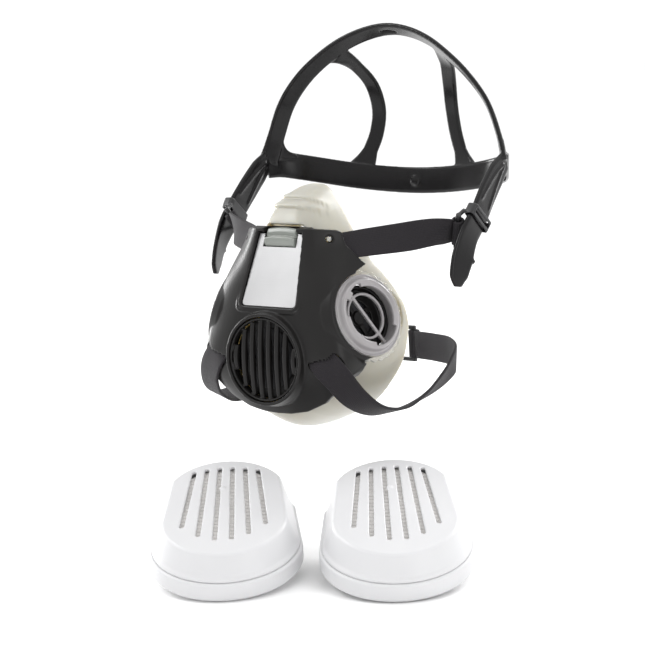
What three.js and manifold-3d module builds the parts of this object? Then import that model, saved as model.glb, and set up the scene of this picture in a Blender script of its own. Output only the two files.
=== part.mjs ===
// Half-mask respirator with two detachable particulate filters.
// Millimetres, +Z up, front of the mask towards -Y, the wearer's left towards +X.
// Shapes are laid out about a point on the mask's middle plane; the last lines move
// the whole object so that its origin is the middle of the face seal.

import * as THREE from 'three';
import { mergeVertices } from 'three/addons/utils/BufferGeometryUtils.js';
import Module from 'manifold-3d';

const wasm = await Module();
wasm.setup();

const SEAL_CENTRE = new THREE.Vector3(0, 5, 10);
const GAP = 0.35;

// Face mask
const FACEPIECE_WALL = 2.6;
const SHELL_WALL = 2.2;

// Front plate: a flat face that leans back at the top
const PLATE_TOP = { y: -30.4, z: 50.0, halfWidth: 13.3 };
const PLATE_BOTTOM = { y: -45.2, z: 15.8, halfWidth: 16.2 };
const PLATE_THICKNESS = 1.0;
const FRAME_MARGIN = 3.8;
const FRAME_DEPTH = 2.6;
const BUTTON_HALF_WIDTH = 9.4;
const BUTTON_BOTTOM_Z = 44.2;
const BUTTON_HEIGHT = 9.4;
const BUTTON_TRAVEL = 2.2;
const POCKET_DEPTH = 7.6;
const POCKET_WALL = 1.3;

// Exhalation port
const EXHALE_CENTRE = new THREE.Vector3(0, -52.0, -9.6);
const EXHALE_TILT = 0.05;
const GRILLE_RADIUS = 20.8;
const BOSS_RADIUS = 22.8;
const EXHALE_SEAT_RADIUS = 20.2;
const EXHALE_TUBE_RADIUS = 16.4;
const RIB_COUNT = 8;
const RIB_PITCH = 5.0;
const RIB_WIDTH = 2.0;

// Inhalation connectors, given on the wearer's left and mirrored
const CONNECTOR_CENTRE = new THREE.Vector3(45.4, -21.6, 10.9);
const CONNECTOR_AXIS = new THREE.Vector3(0.924, -0.212, 0.32).normalize();
const FLANGE_RADIUS = 20.6;
const FLANGE_HEIGHT = 4.2;
const OPENING_RADIUS = 14.0;
const PLUG_RADIUS = 13.6;
// Bayonet notches, as [start, end] in degrees round the connector, and their radius
const NOTCH_RADIUS = 16.0;
const NOTCHES = [[98, 127], [144, 176], [262, 329]];
const CROSSBAR_TURN = -1.09;
const TUBE_RADIUS = 18.4;
const GASKET_RADIUS = 23.3;
const GASKET_THICKNESS = 1.2;

// Webbing
const UPPER_STRAP_WIDTH = 14.5;
const NECK_STRAP_WIDTH = 15;
const WEBBING = 1.5;

// Head harness
const CROWN_WIDTH = 10.5;
const BACK_WIDTH = 14.5;
const RIB_BAND_WIDTH = 8.6;
const ARM_WIDTH = 15.5;
const HARNESS_THICKNESS = 2.6;

// Filters
const FLOOR_Z = -105.4;
const FILTER_RIM_HEIGHT = 9;
const FILTER_DECK_HEIGHT = 20.5;
const DECK_SLOPE = 0.078;
const PLUG_HEIGHT = 13.5;
const SLOT_COUNT = 6;
const SLOT_WIDTH = 2.2;
const FILTER_TURN = 0.62;
const FILTER_PLACES = { left: { x: 74.7, y: -54.7 }, right: { x: 1.5, y: -90 } };

const MATERIALS = {
  silicone: { color: 0xcfcdbf, roughness: 0.45, metalness: 0 },
  shell: { color: 0x26272a, roughness: 0.45, metalness: 0 },
  plate: { color: 0xc9cbcc, roughness: 0.35, metalness: 0.8 },
  button: { color: 0x8f9a94, roughness: 0.3, metalness: 0 },
  connector: { color: 0x9b98a0, roughness: 0.3, metalness: 0 },
  clear: { color: 0xd8d8d4, roughness: 0.15, metalness: 0 },
  valve: { color: 0x2c2b2d, roughness: 0.6, metalness: 0 },
  spring: { color: 0xb8babd, roughness: 0.3, metalness: 1 },
  rubber: { color: 0x1d1d1f, roughness: 0.4, metalness: 0 },
  webbing: { color: 0x232225, roughness: 0.9, metalness: 0 },
  buckle: { color: 0x1f1f21, roughness: 0.4, metalness: 0 },
  filter: { color: 0xf1f1f0, roughness: 0.5, metalness: 0 },
  media: { color: 0xc9c5bc, roughness: 0.95, metalness: 0 },
};

const respirator = new THREE.Group();

// ---------------------------------------------------------------- helpers

function v(x, y, z) {
  return new THREE.Vector3(x, y, z);
}

function lerp(a, b, t) {
  return a + (b - a) * t;
}

/** Closed geometry from vertices and triangles, with its faces turned outwards. */
function closedGeometry(points, triangles) {
  let volume = 0;
  for (const [a, b, c] of triangles) {
    volume += points[a].dot(new THREE.Vector3().crossVectors(points[b], points[c]));
  }
  const index = volume >= 0 ? triangles.flat() : triangles.flatMap(([a, b, c]) => [a, c, b]);
  const geometry = new THREE.BufferGeometry().setFromPoints(points);
  geometry.setIndex(index);
  return geometry;
}

function solid(geometry) {
  const plain = geometry.clone();
  plain.deleteAttribute('normal');
  plain.deleteAttribute('uv');
  const merged = mergeVertices(plain, 1e-4);
  return new wasm.Manifold(new wasm.Mesh({
    numProp: 3,
    vertProperties: merged.attributes.position.array,
    triVerts: new Uint32Array(merged.index.array),
  }));
}

function geometryOf(body) {
  const { vertProperties, triVerts } = body.getMesh();
  const geometry = new THREE.BufferGeometry();
  geometry.setAttribute('position', new THREE.BufferAttribute(new Float32Array(vertProperties), 3));
  geometry.setIndex([...triVerts]);
  return geometry;
}

function addNode(name, body, materialName) {
  const geometry = body.isBufferGeometry ? body : geometryOf(body);
  geometry.computeVertexNormals();
  const mesh = new THREE.Mesh(geometry, new THREE.MeshStandardMaterial(MATERIALS[materialName]));
  mesh.name = name;
  respirator.add(mesh);
  return mesh;
}

/** A body lofted through closed rings of points, its two ends closed by fans. */
function loft(rings) {
  const count = rings[0].length;
  const points = rings.flat();
  const triangles = [];
  for (let row = 0; row + 1 < rings.length; row += 1) {
    for (let col = 0; col < count; col += 1) {
      const a = row * count + col;
      const b = row * count + ((col + 1) % count);
      triangles.push([a, b, b + count], [a, b + count, a + count]);
    }
  }
  const caps = [[0, rings[0], false], [(rings.length - 1) * count, rings.at(-1), true]];
  for (const [start, ring, flip] of caps) {
    const middle = points.length;
    const centre = ring.reduce((sum, p) => sum.add(p), v(0, 0, 0)).divideScalar(count);
    points.push(centre);
    for (let col = 0; col < count; col += 1) {
      const a = start + col;
      const b = start + ((col + 1) % count);
      triangles.push(flip ? [a, b, middle] : [b, a, middle]);
    }
  }
  return closedGeometry(points, triangles);
}

/** A sheet with thickness: two matching grids of points, joined round their edges. */
function sheetBody(outer, inner) {
  const rows = outer.length;
  const cols = outer[0].length;
  const points = [...outer.flat(), ...inner.flat()];
  const half = rows * cols;
  const triangles = [];
  const quad = (a, b, c, d) => triangles.push([a, b, c], [a, c, d]);
  for (let i = 0; i + 1 < rows; i += 1) {
    for (let j = 0; j + 1 < cols; j += 1) {
      const a = i * cols + j;
      quad(a, a + 1, a + cols + 1, a + cols);
      quad(half + a, half + a + cols, half + a + cols + 1, half + a + 1);
    }
  }
  for (let j = 0; j + 1 < cols; j += 1) {
    const last = (rows - 1) * cols + j;
    quad(j + 1, j, half + j, half + j + 1);
    quad(last, last + 1, half + last + 1, half + last);
  }
  for (let i = 0; i + 1 < rows; i += 1) {
    const left = i * cols;
    const right = left + cols - 1;
    quad(left, left + cols, half + left + cols, half + left);
    quad(right + cols, right, half + right, half + right + cols);
  }
  return closedGeometry(points, triangles);
}

/** Smooth path through the middles of a control polygon's sides, from end to end. */
function softPath(points, stepsPerSpan) {
  const path = [points[0].clone()];
  for (let k = 1; k + 1 < points.length; k += 1) {
    const from = k === 1 ? points[0] : points[k - 1].clone().lerp(points[k], 0.5);
    const to = k + 2 === points.length ? points[k + 1] : points[k].clone().lerp(points[k + 1], 0.5);
    const curve = new THREE.QuadraticBezierCurve3(from, points[k], to);
    path.push(...curve.getPoints(stepsPerSpan).slice(1));
  }
  return path;
}

function extrudeShape(shape, depth, curveSegments = 12) {
  return new THREE.ExtrudeGeometry(shape, { depth, bevelEnabled: false, curveSegments });
}

function polygonShape(points) {
  return new THREE.Shape(points.map(([x, y]) => new THREE.Vector2(x, y)));
}

/** Geometry whose local Z points along an axis from a centre. */
function placeAlong(geometry, centre, axis, up = v(0, 0, 1)) {
  const z = axis.clone().normalize();
  const x = up.clone().cross(z).normalize();
  const y = z.clone().cross(x);
  const matrix = new THREE.Matrix4().makeBasis(x, y, z).setPosition(centre);
  return geometry.clone().applyMatrix4(matrix);
}

function disc(radius, from, to, segments = 20) {
  const geometry = new THREE.CylinderGeometry(radius, radius, to - from, segments);
  return geometry.rotateX(Math.PI / 2).translate(0, 0, (from + to) / 2);
}

/** A body of revolution about local Z from closed profile points [radius, height]. */
function turned(profile, segments = 20) {
  const outline = [...profile, profile[0]].map(([r, h]) => new THREE.Vector2(r, h));
  return solid(outwards(new THREE.LatheGeometry(outline, segments).rotateX(Math.PI / 2)));
}

function outwards(geometry) {
  const plain = geometry.clone();
  plain.deleteAttribute('normal');
  plain.deleteAttribute('uv');
  const merged = mergeVertices(plain, 1e-4);
  const position = merged.attributes.position;
  const points = [];
  for (let k = 0; k < position.count; k += 1) {
    points.push(new THREE.Vector3().fromBufferAttribute(position, k));
  }
  const triangles = [];
  for (let k = 0; k < merged.index.count; k += 3) {
    const [a, b, c] = [0, 1, 2].map((j) => merged.index.getX(k + j));
    if (a !== b && b !== c && c !== a) {
      triangles.push([a, b, c]);
    }
  }
  return closedGeometry(points, triangles);
}

function moved(body, matrix) {
  return solid(outwards(geometryOf(body).applyMatrix4(matrix)));
}

function mirrored(body) {
  return moved(body, new THREE.Matrix4().makeScale(-1, 1, 1));
}

function box(width, depth, height) {
  return new THREE.BoxGeometry(width, depth, height);
}

/** A flat strap: a rounded rectangle carried along a path with a chosen width direction. */
function ribbon(stations, width, thickness, steps) {
  const path = new THREE.CatmullRomCurve3(stations.map((s) => v(...s.at)), false, 'centripetal');
  const across = new THREE.CatmullRomCurve3(stations.map((s) => v(...s.across)), false, 'centripetal');
  const scale = stations.map((s) => s.scale ?? 1);
  const rings = [];
  const chamfer = thickness * 0.3;
  for (let k = 0; k <= steps; k += 1) {
    const t = k / steps;
    const centre = path.getPoint(t);
    const along = path.getTangent(t);
    const wide = across.getPoint(t).projectOnPlane(along).normalize();
    const normal = along.clone().cross(wide).normalize();
    const place = t * (scale.length - 1);
    const low = Math.min(Math.floor(place), scale.length - 2);
    const halfWidth = width / 2 * lerp(scale[low], scale[low + 1], place - low);
    const halfThick = thickness / 2;
    const corners = [
      [halfWidth - chamfer, halfThick], [halfWidth, halfThick - chamfer],
      [halfWidth, chamfer - halfThick], [halfWidth - chamfer, -halfThick],
      [chamfer - halfWidth, -halfThick], [-halfWidth, chamfer - halfThick],
      [-halfWidth, halfThick - chamfer], [chamfer - halfWidth, halfThick],
    ];
    rings.push(corners.map(([a, b]) => centre.clone().addScaledVector(wide, a).addScaledVector(normal, b)));
  }
  return loft(rings);
}

// ---------------------------------------------------------------- face mask

// Half outlines, nose to chin, as [x, y, z]: the seal's rim and the front of the body
const SEAL_RIM = [
  [0, 2, 71.5], [7, 1.5, 70.3], [12.5, 2, 63], [20.7, 4, 46], [28.3, 6, 32.6], [39, 6, 21.9],
  [46, 5.5, 13], [49, 5.5, 2], [48.3, 5, -6.5], [45.6, 4, -17.6], [39.5, 1, -28.8], [31.5, 0, -37.7],
  [17.5, -2.5, -46], [0, -5, -51.5],
];
const FRONT_RIM = [
  [0, -31, 46], [8, -31.5, 45.5], [11, -33, 41], [15, -36.5, 32], [19, -39.5, 22], [23, -41, 15],
  [26, -42, 9], [28, -42.5, 2], [29, -42.5, -5], [28, -42, -12], [26, -41, -19], [21, -40, -27],
  [11, -39, -33.5], [0, -38.5, -36],
];
const RIM_POINTS = 32;
const SKIN_STEPS = 4;

function fullRing(halfPoints) {
  const right = halfPoints.map((p) => v(...p));
  const left = halfPoints.slice(1, -1).reverse().map(([x, y, z]) => v(-x, y, z));
  return new THREE.CatmullRomCurve3([...right, ...left], true, 'centripetal').getPoints(RIM_POINTS).slice(0, -1);
}

/** Rings of the face mask's skin from the seal forward, drawn in by an offset. */
function skinRings(offset, steps) {
  const rim = fullRing(SEAL_RIM);
  const front = fullRing(FRONT_RIM);
  const middle = v(0, 0, 8);
  const rings = [];
  for (let k = 0; k <= steps; k += 1) {
    const t = k / steps;
    rings.push(rim.map((p, j) => {
      const roundness = Math.min(1, Math.max(0, (p.z - 40) / 22, (-30 - p.z) / 14));
      const bulge = lerp(Math.pow(t, 1.7), 1 - Math.sqrt(1 - t * t), roundness);
      const q = v(lerp(p.x, front[j].x, bulge), lerp(p.y, front[j].y, t), lerp(p.z, front[j].z, bulge));
      const inward = v(middle.x - q.x, 0, middle.z - q.z).normalize();
      return q.addScaledVector(inward, offset).add(v(0, offset * t, 0));
    }));
  }
  return rings;
}

function facepieceBody(cutters) {
  const outer = skinRings(0, SKIN_STEPS);
  const inner = skinRings(FACEPIECE_WALL, SKIN_STEPS);
  const lip = inner[0].map((p) => {
    const inward = v(-p.x, 0, 8 - p.z).normalize();
    return p.clone().addScaledVector(inward, 7).add(v(0, 1.5, 0));
  });
  const lipUnder = lip.map((p) => p.clone().add(v(0, -1.8, 0)));
  const lipRoot = inner[0].map((p) => p.clone().add(v(0, -2.0, 0)));
  let body = solid(loft([...inner.slice(1).reverse(), lipRoot, lipUnder, lip, ...outer]));
  body = body.add(exhaleDisc(EXHALE_SEAT_RADIUS, -10.6, -8));
  body = body.add(buttonBlock(POCKET_WALL + 3, BUTTON_HEIGHT - 2, -POCKET_DEPTH - POCKET_WALL - 3, -4));
  const portWall = connectorSpace(FLANGE_RADIUS, -FLANGE_HEIGHT - 9, -FLANGE_HEIGHT - 2);
  body = body.add(portWall).add(mirrored(portWall));
  const pocketFoot = -POCKET_DEPTH - POCKET_WALL - GAP;
  body = body.subtract(buttonBlock(POCKET_WALL + 2 * GAP, BUTTON_HEIGHT, pocketFoot, 8));
  const frame = extrudeShape(plateShape(FRAME_MARGIN + GAP, 4.5), 14).translate(0, 0, -FRAME_DEPTH - GAP);
  body = body.subtract(solid(outwards(onPlate(frame))));
  body = body.subtract(exhaleDisc(BOSS_RADIUS + GAP, -8, 6));
  body = body.subtract(exhaleDisc(EXHALE_SEAT_RADIUS - 1.8, -15, -10.6));
  body = body.subtract(exhaleDisc(EXHALE_TUBE_RADIUS + GAP, -20, 4));
  const flange = connectorSpace(GASKET_RADIUS + GAP, -FLANGE_HEIGHT - GASKET_THICKNESS - 2 * GAP, 20);
  const port = connectorSpace(TUBE_RADIUS + GAP, -20, 4);
  for (const cutter of [flange, port, ...cutters]) {
    body = body.subtract(cutter).subtract(mirrored(cutter));
  }
  return body;
}

// ---------------------------------------------------------------- front shell

// Control net of the shell's outer skin: rows from the top down, each a half section
// [x, y] from the middle plane round to the side
const SHELL_ROWS = [
  { z: 54, half: [[0, -32.2], [9, -32.2], [16, -31.2], [20.5, -27.5], [25, -22.5], [29, -17.5], [31, -12]] },
  { z: 46, half: [[0, -34.8], [11, -34.8], [18.5, -33.4], [22.5, -29], [27, -24], [30.5, -19], [32.5, -12]] },
  { z: 36, half: [[0, -38.8], [13, -38.8], [20, -37.4], [26, -34], [31, -29.5], [36, -21.5], [39, -10]] },
  { z: 26, half: [[0, -42.6], [14, -42.6], [22, -41.6], [28.5, -39.8], [34, -36.6], [38.5, -25], [42, -10]] },
  { z: 12, half: [[0, -47.2], [16, -47.2], [24, -46.2], [32, -44.2], [38.5, -41], [42, -24], [45, -8]] },
  { z: 0, half: [[0, -49], [18, -49], [26, -48.5], [33, -47], [41, -44], [45, -27], [48, -10]] },
  { z: -12, half: [[0, -49.8], [18, -49.8], [27, -49.3], [36, -48.3], [43.5, -45], [46.5, -33], [48.5, -16]] },
  { z: -24, half: [[0, -48.5], [14, -48.2], [24, -47], [33, -45], [40, -41], [42, -31], [43, -18]] },
  { z: -36, half: [[0, -44], [12, -43.6], [20, -42], [27, -39], [32, -35], [34, -27], [35, -18]] },
  { z: -45, half: [[0, -38], [10, -37.5], [17, -36], [22, -33], [26, -29], [28, -22], [29, -15]] },
];
const ROW_STEPS = 1;
const COLUMN_STEPS = 2;

function shellGrid() {
  const rows = SHELL_ROWS.map(({ z, half }) => {
    const right = half.map(([x, y]) => v(x, y, z));
    const left = half.slice(1).reverse().map(([x, y]) => v(-x, y, z));
    return softPath([...left, ...right], COLUMN_STEPS);
  });
  const columns = rows[0].map((_, j) => softPath(rows.map((row) => row[j]), ROW_STEPS));
  return columns[0].map((_, i) => columns.map((column) => column[i]));
}

function gridNormals(grid) {
  return grid.map((row, i) => row.map((_, j) => {
    const down = grid[Math.min(i + 1, grid.length - 1)][j].clone().sub(grid[Math.max(i - 1, 0)][j]);
    const along = row[Math.min(j + 1, row.length - 1)].clone().sub(row[Math.max(j - 1, 0)]);
    return along.cross(down).normalize();
  }));
}

function offsetGrid(grid, distance) {
  const normals = gridNormals(grid);
  const facing = normals[0][Math.floor(normals[0].length / 2)].y < 0 ? 1 : -1;
  return grid.map((row, i) => row.map((p, j) => p.clone().addScaledVector(normals[i][j], distance * facing)));
}

// The shell seen from the front, and from the side, as the outlines that trim it
const SHELL_FRONT_OUTLINE = [
  [0, 53.2], [17, 52.8], [25, 51.4], [29.5, 49.8], [32, 47.6], [60, 47.2], [60, -8], [47, -10], [44, -16],
  [36, -25], [28.5, -31.5], [18, -36.4], [8, -38.3], [0, -38.7],
];
const SHELL_REAR_EDGE = [
  [-70, 60], [-19, 60], [-20, 44], [-16, 36], [-14, 34], [-22, 31], [-16, 24], [-14, 4],
  [-20, -7], [-25, -9], [-29, -14], [-32, -24], [-30, -50], [-70, -50],
];

function shellTrim() {
  const right = SHELL_FRONT_OUTLINE;
  const left = right.slice(1, -1).reverse().map(([x, z]) => [-x, z]);
  const frontShape = extrudeShape(polygonShape([...right, ...left]), 100);
  const front = solid(outwards(frontShape.rotateX(Math.PI / 2).translate(0, 20, 0)));
  const sideShape = extrudeShape(polygonShape(SHELL_REAR_EDGE), 140);
  const basis = new THREE.Matrix4().makeBasis(v(0, 1, 0), v(0, 0, 1), v(1, 0, 0));
  const side = solid(outwards(sideShape.applyMatrix4(basis).translate(-70, 0, 0)));
  return front.intersect(side);
}

const plateNormal = v(0, PLATE_TOP.z - PLATE_BOTTOM.z, 0)
  .add(v(0, 0, -(PLATE_TOP.y - PLATE_BOTTOM.y))).multiplyScalar(-1).normalize();
const plateUp = v(0, PLATE_TOP.y - PLATE_BOTTOM.y, PLATE_TOP.z - PLATE_BOTTOM.z).normalize();
const plateMiddle = v(0, (PLATE_TOP.y + PLATE_BOTTOM.y) / 2, (PLATE_TOP.z + PLATE_BOTTOM.z) / 2);
const plateHalfHeight = Math.hypot(PLATE_TOP.y - PLATE_BOTTOM.y, PLATE_TOP.z - PLATE_BOTTOM.z) / 2;

/** Carries a shape drawn on the plate's face (x across, y up, z outwards) into place. */
function onPlate(geometry) {
  const basis = new THREE.Matrix4().makeBasis(v(1, 0, 0), plateUp, plateNormal).setPosition(plateMiddle);
  return geometry.applyMatrix4(basis);
}

/** The plate's tapered outline, grown outwards, with round lower corners. */
function plateShape(grow, radius) {
  const top = plateHalfHeight + grow;
  const bottom = -plateHalfHeight - grow;
  const wideTop = PLATE_TOP.halfWidth + grow;
  const wideBottom = PLATE_BOTTOM.halfWidth + grow;
  const shape = new THREE.Shape();
  shape.moveTo(-wideTop, top);
  shape.lineTo(-wideBottom, bottom + radius);
  shape.quadraticCurveTo(-wideBottom, bottom, -wideBottom + radius, bottom);
  shape.lineTo(wideBottom - radius, bottom);
  shape.quadraticCurveTo(wideBottom, bottom, wideBottom, bottom + radius);
  shape.lineTo(wideTop, top);
  return shape;
}

function connectorSpace(radius, from, to) {
  return solid(outwards(placeAlong(disc(radius, from, to), CONNECTOR_CENTRE, CONNECTOR_AXIS)));
}

const exhaleAxis = v(0, -Math.cos(EXHALE_TILT), Math.sin(EXHALE_TILT));

function exhaleDisc(radius, from, to) {
  return solid(outwards(placeAlong(disc(radius, from, to, 24), EXHALE_CENTRE, exhaleAxis)));
}

const buttonBottom = (BUTTON_BOTTOM_Z - plateMiddle.z) / plateUp.z;

/** A block round the button, grown by a margin, between two depths below the plate's face. */
function buttonBlock(grow, height, from, to) {
  const geometry = box(2 * (BUTTON_HALF_WIDTH + grow), height + 2 * grow, to - from);
  return solid(outwards(onPlate(geometry.translate(0, buttonBottom + height / 2, (from + to) / 2))));
}

/** The raised collar round a connector, down to the shell's inner surface. */
function collarBody(grid) {
  const ring = turned([[0, -12], [26.4, -12], [25.8, -7.4], [23.6, -3.0], [22.8, -2.5], [0, -2.5]], 40);
  const placed = solid(outwards(placeAlong(geometryOf(ring), CONNECTOR_CENTRE, CONNECTOR_AXIS)));
  const behind = sheetBody(offsetGrid(grid, -SHELL_WALL), offsetGrid(grid, -SHELL_WALL - 12));
  return placed.subtract(solid(behind));
}

function shellBody(cutters) {
  const grid = shellGrid();
  let body = solid(sheetBody(grid, offsetGrid(grid, -SHELL_WALL)));
  const collar = collarBody(grid);
  body = body.add(collar).add(mirrored(collar));
  body = body.add(buttonBlock(POCKET_WALL + GAP, BUTTON_HEIGHT, -POCKET_DEPTH - POCKET_WALL, -1));
  body = body.intersect(shellTrim());
  const frame = extrudeShape(plateShape(FRAME_MARGIN, 4.5), FRAME_DEPTH + 0.8)
    .translate(0, 0, -FRAME_DEPTH);
  body = body.add(solid(outwards(onPlate(frame))));
  const plateRoom = extrudeShape(plateShape(GAP, 2.4), 6).translate(0, 0, -PLATE_THICKNESS - GAP);
  body = body.subtract(solid(outwards(onPlate(plateRoom))));
  body = body.add(exhaleDisc(BOSS_RADIUS, -7.5, 0.4));
  body = body.subtract(exhaleDisc(GRILLE_RADIUS + GAP, -20, 4));
  body = body.subtract(buttonBlock(GAP, BUTTON_HEIGHT, -POCKET_DEPTH, 8));
  const pocket = connectorSpace(FLANGE_RADIUS + 0.5, -FLANGE_HEIGHT - GAP, 20);
  const port = connectorSpace(GASKET_RADIUS + GAP, -20, -FLANGE_HEIGHT);
  for (const cutter of [pocket, port, ...cutters]) {
    body = body.subtract(cutter).subtract(mirrored(cutter));
  }
  return body;
}

// ---------------------------------------------------------------- connectors

/** A sector about local Z between two radii. */
function sector(inner, outer, start, end, margin = 0) {
  const [from, to] = [start + margin, end - margin].map(THREE.MathUtils.degToRad);
  const shape = new THREE.Shape();
  shape.absarc(0, 0, outer, from, to, false);
  shape.absarc(0, 0, inner, to, from, true);
  return shape;
}

function bayonetNotches() {
  return NOTCHES.map(([start, end]) => {
    const shape = sector(OPENING_RADIUS - 3, NOTCH_RADIUS, start, end);
    return solid(outwards(extrudeShape(shape, 4, 4).translate(0, 0, -3)));
  });
}

function connectorBody() {
  let body = turned([
    [OPENING_RADIUS, 0], [17.4, 0], [18.7, -0.5], [19.5, -1.8], [19.7, -3.0], [FLANGE_RADIUS, -3.2],
    [FLANGE_RADIUS, -FLANGE_HEIGHT], [TUBE_RADIUS, -FLANGE_HEIGHT], [TUBE_RADIUS, -8.4],
    [16.4, -8.4], [16.4, -1.8], [OPENING_RADIUS, -1.8],
  ]);
  for (const notch of bayonetNotches()) {
    body = body.subtract(notch);
  }
  const ring = turned([[10.4, -4.6], [11.8, -4.6], [11.8, -6.2], [10.4, -6.2]]);
  const bar = solid(outwards(box(2 * 16.8, 1.6, 1.6).translate(0, 0, -5.4)
    .rotateZ(CROSSBAR_TURN)));
  return body.add(ring).add(bar);
}

function inhaleSeatBody() {
  let body = turned([
    [15.9, -6.8], [15.9, -12.6], [3, -12.6], [3, -11.2], [14.4, -11.2], [14.4, -6.8],
  ]);
  const hub = solid(outwards(disc(3.4, -12.6, -9.6, 20)));
  for (let k = 0; k < 4; k += 1) {
    const sector = new THREE.Shape();
    sector.absarc(0, 0, 9.4, 0.14, Math.PI / 2 - 0.14, false);
    sector.absarc(0, 0, 4.2, Math.PI / 2 - 0.3, 0.3, true);
    const window = extrudeShape(sector, 6, 6).translate(0, 0, -15).rotateZ(k * Math.PI / 2 + 0.4);
    body = body.subtract(solid(outwards(window)));
  }
  return body.add(hub);
}

function inhaleValveBody() {
  return turned([[0, -13.0], [10.6, -13.0], [10.6, -13.8], [2.2, -14.2], [0, -14.2]]);
}

function gasketBody() {
  const shape = new THREE.Shape();
  const lobes = 12;
  const steps = lobes * 2;
  for (let k = 0; k < steps; k += 1) {
    const angle = k / steps * 2 * Math.PI;
    const radius = GASKET_RADIUS - 0.7 + 0.7 * Math.cos(angle * lobes);
    shape[k ? 'lineTo' : 'moveTo'](radius * Math.cos(angle), radius * Math.sin(angle));
  }
  const hole = new THREE.Path();
  hole.absarc(0, 0, TUBE_RADIUS + GAP, 0, 2 * Math.PI, true);
  shape.holes.push(hole);
  return solid(outwards(extrudeShape(shape, GASKET_THICKNESS, 20)
    .translate(0, 0, -FLANGE_HEIGHT - GAP - GASKET_THICKNESS)));
}

function addConnectorSide(suffix, side) {
  const basis = (body) => {
    const placed = solid(outwards(placeAlong(geometryOf(body), CONNECTOR_CENTRE, CONNECTOR_AXIS)));
    return side > 0 ? placed : mirrored(placed);
  };
  addNode(`connector_${suffix}`, basis(connectorBody()), 'connector');
  addNode(`connector_gasket_${suffix}`, basis(gasketBody()), 'clear');
  addNode(`inhale_seat_${suffix}`, basis(inhaleSeatBody()), 'shell');
  addNode(`inhale_valve_${suffix}`, basis(inhaleValveBody()), 'valve');
}


// ---------------------------------------------------------------- plate, button and spring

function frontPlateBody() {
  const plate = extrudeShape(plateShape(0, 2.2), PLATE_THICKNESS).translate(0, 0, -PLATE_THICKNESS);
  const notch = buttonBlock(2 * GAP, BUTTON_HEIGHT + 4, -8, 8);
  return solid(outwards(onPlate(plate))).subtract(notch);
}

function releaseButtonBody() {
  const shape = new THREE.Shape();
  const wide = BUTTON_HALF_WIDTH - 0.8;
  const high = BUTTON_HEIGHT / 2 - 0.8;
  shape.moveTo(-wide, -high);
  shape.lineTo(wide, -high);
  shape.lineTo(wide, high);
  shape.lineTo(-wide, high);
  const block = new THREE.ExtrudeGeometry(shape, {
    depth: 4.2, bevelEnabled: true, bevelThickness: 0.8, bevelSize: 0.8, bevelSegments: 2,
  }).translate(0, buttonBottom + BUTTON_HEIGHT / 2, -4.2);
  const ridge = new THREE.CylinderGeometry(2.2, 2.2, 2 * wide, 16).rotateZ(Math.PI / 2)
    .translate(0, buttonBottom + 2.6, 0.1);
  const bore = disc(3.2, -8, -0.6, 20).translate(0, buttonBottom + BUTTON_HEIGHT / 2, 0);
  return solid(outwards(onPlate(block))).add(solid(outwards(onPlate(ridge))))
    .subtract(solid(outwards(onPlate(bore))));
}

class Helix extends THREE.Curve {
  constructor(radius, height, turns) {
    super();
    Object.assign(this, { radius, height, turns });
  }

  getPoint(t, target = new THREE.Vector3()) {
    const angle = 2 * Math.PI * this.turns * t;
    return target.set(this.radius * Math.cos(angle), this.radius * Math.sin(angle), this.height * t);
  }
}

function buttonSpringBody() {
  const wire = new THREE.Shape().absarc(0, 0, 0.3, 0, 2 * Math.PI);
  const length = POCKET_DEPTH - 0.6 - BUTTON_TRAVEL - 2 * GAP - 0.6;
  const coil = new THREE.ExtrudeGeometry(wire, {
    steps: 32, curveSegments: 2, bevelEnabled: false, extrudePath: new Helix(2.2, length, 4),
  }).translate(0, buttonBottom + BUTTON_HEIGHT / 2, -POCKET_DEPTH + GAP + 0.3);
  return solid(outwards(onPlate(coil)));
}

// ---------------------------------------------------------------- exhalation valve

function onExhale(body) {
  return solid(outwards(placeAlong(geometryOf(body), EXHALE_CENTRE, exhaleAxis)));
}

function exhaleSeatBody() {
  let body = turned([
    [13.4, -6], [EXHALE_SEAT_RADIUS, -6], [EXHALE_SEAT_RADIUS, -7.6], [EXHALE_TUBE_RADIUS, -7.6],
    [EXHALE_TUBE_RADIUS, -11.2], [18.2, -11.2], [18.2, -12.4], [14.4, -12.4], [14.4, -7.6], [13.4, -7.6],
  ]);
  body = body.add(solid(outwards(disc(3.8, -9.6, -6, 20))));
  for (let k = 0; k < 2; k += 1) {
    const spoke = box(28, 1.8, 2.6).translate(0, 0, -7.6).rotateZ(k * Math.PI / 2 + Math.PI / 4);
    body = body.add(solid(outwards(spoke)));
  }
  return onExhale(body.subtract(solid(outwards(disc(2.0, -20, 0, 16)))));
}

function exhaleValveBody() {
  return onExhale(turned([
    [0, -4.6], [15.2, -5.1], [15.2, -5.6], [1.6, -5.6], [1.6, -11.6], [2.6, -12.2], [1.4, -14.4], [0, -14.4],
  ], 40));
}

function exhaleCoverBody() {
  let body = turned([
    [19.4, -2.8], [19.4, -0.9], [20.2, -0.3], [GRILLE_RADIUS, -0.3], [GRILLE_RADIUS, -5], [20.0, -5], [20.0, -2.8],
  ]);
  for (let k = 0; k < RIB_COUNT; k += 1) {
    const x = (k - (RIB_COUNT - 1) / 2) * RIB_PITCH;
    const reach = Math.sqrt(20.2 ** 2 - (Math.abs(x) + RIB_WIDTH / 2) ** 2);
    const side = new THREE.Shape();
    side.moveTo(-reach, -2.8);
    side.lineTo(reach, -2.8);
    side.lineTo(reach, -1.4);
    side.quadraticCurveTo(0, 0.6, -reach, -1.4);
    const rib = extrudeShape(side, RIB_WIDTH, 6);
    const basis = new THREE.Matrix4().makeBasis(v(0, 1, 0), v(0, 0, 1), v(1, 0, 0));
    body = body.add(solid(outwards(rib.applyMatrix4(basis).translate(x - RIB_WIDTH / 2, 0, 0))));
  }
  return onExhale(body);
}

// ---------------------------------------------------------------- straps and buckles

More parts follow.
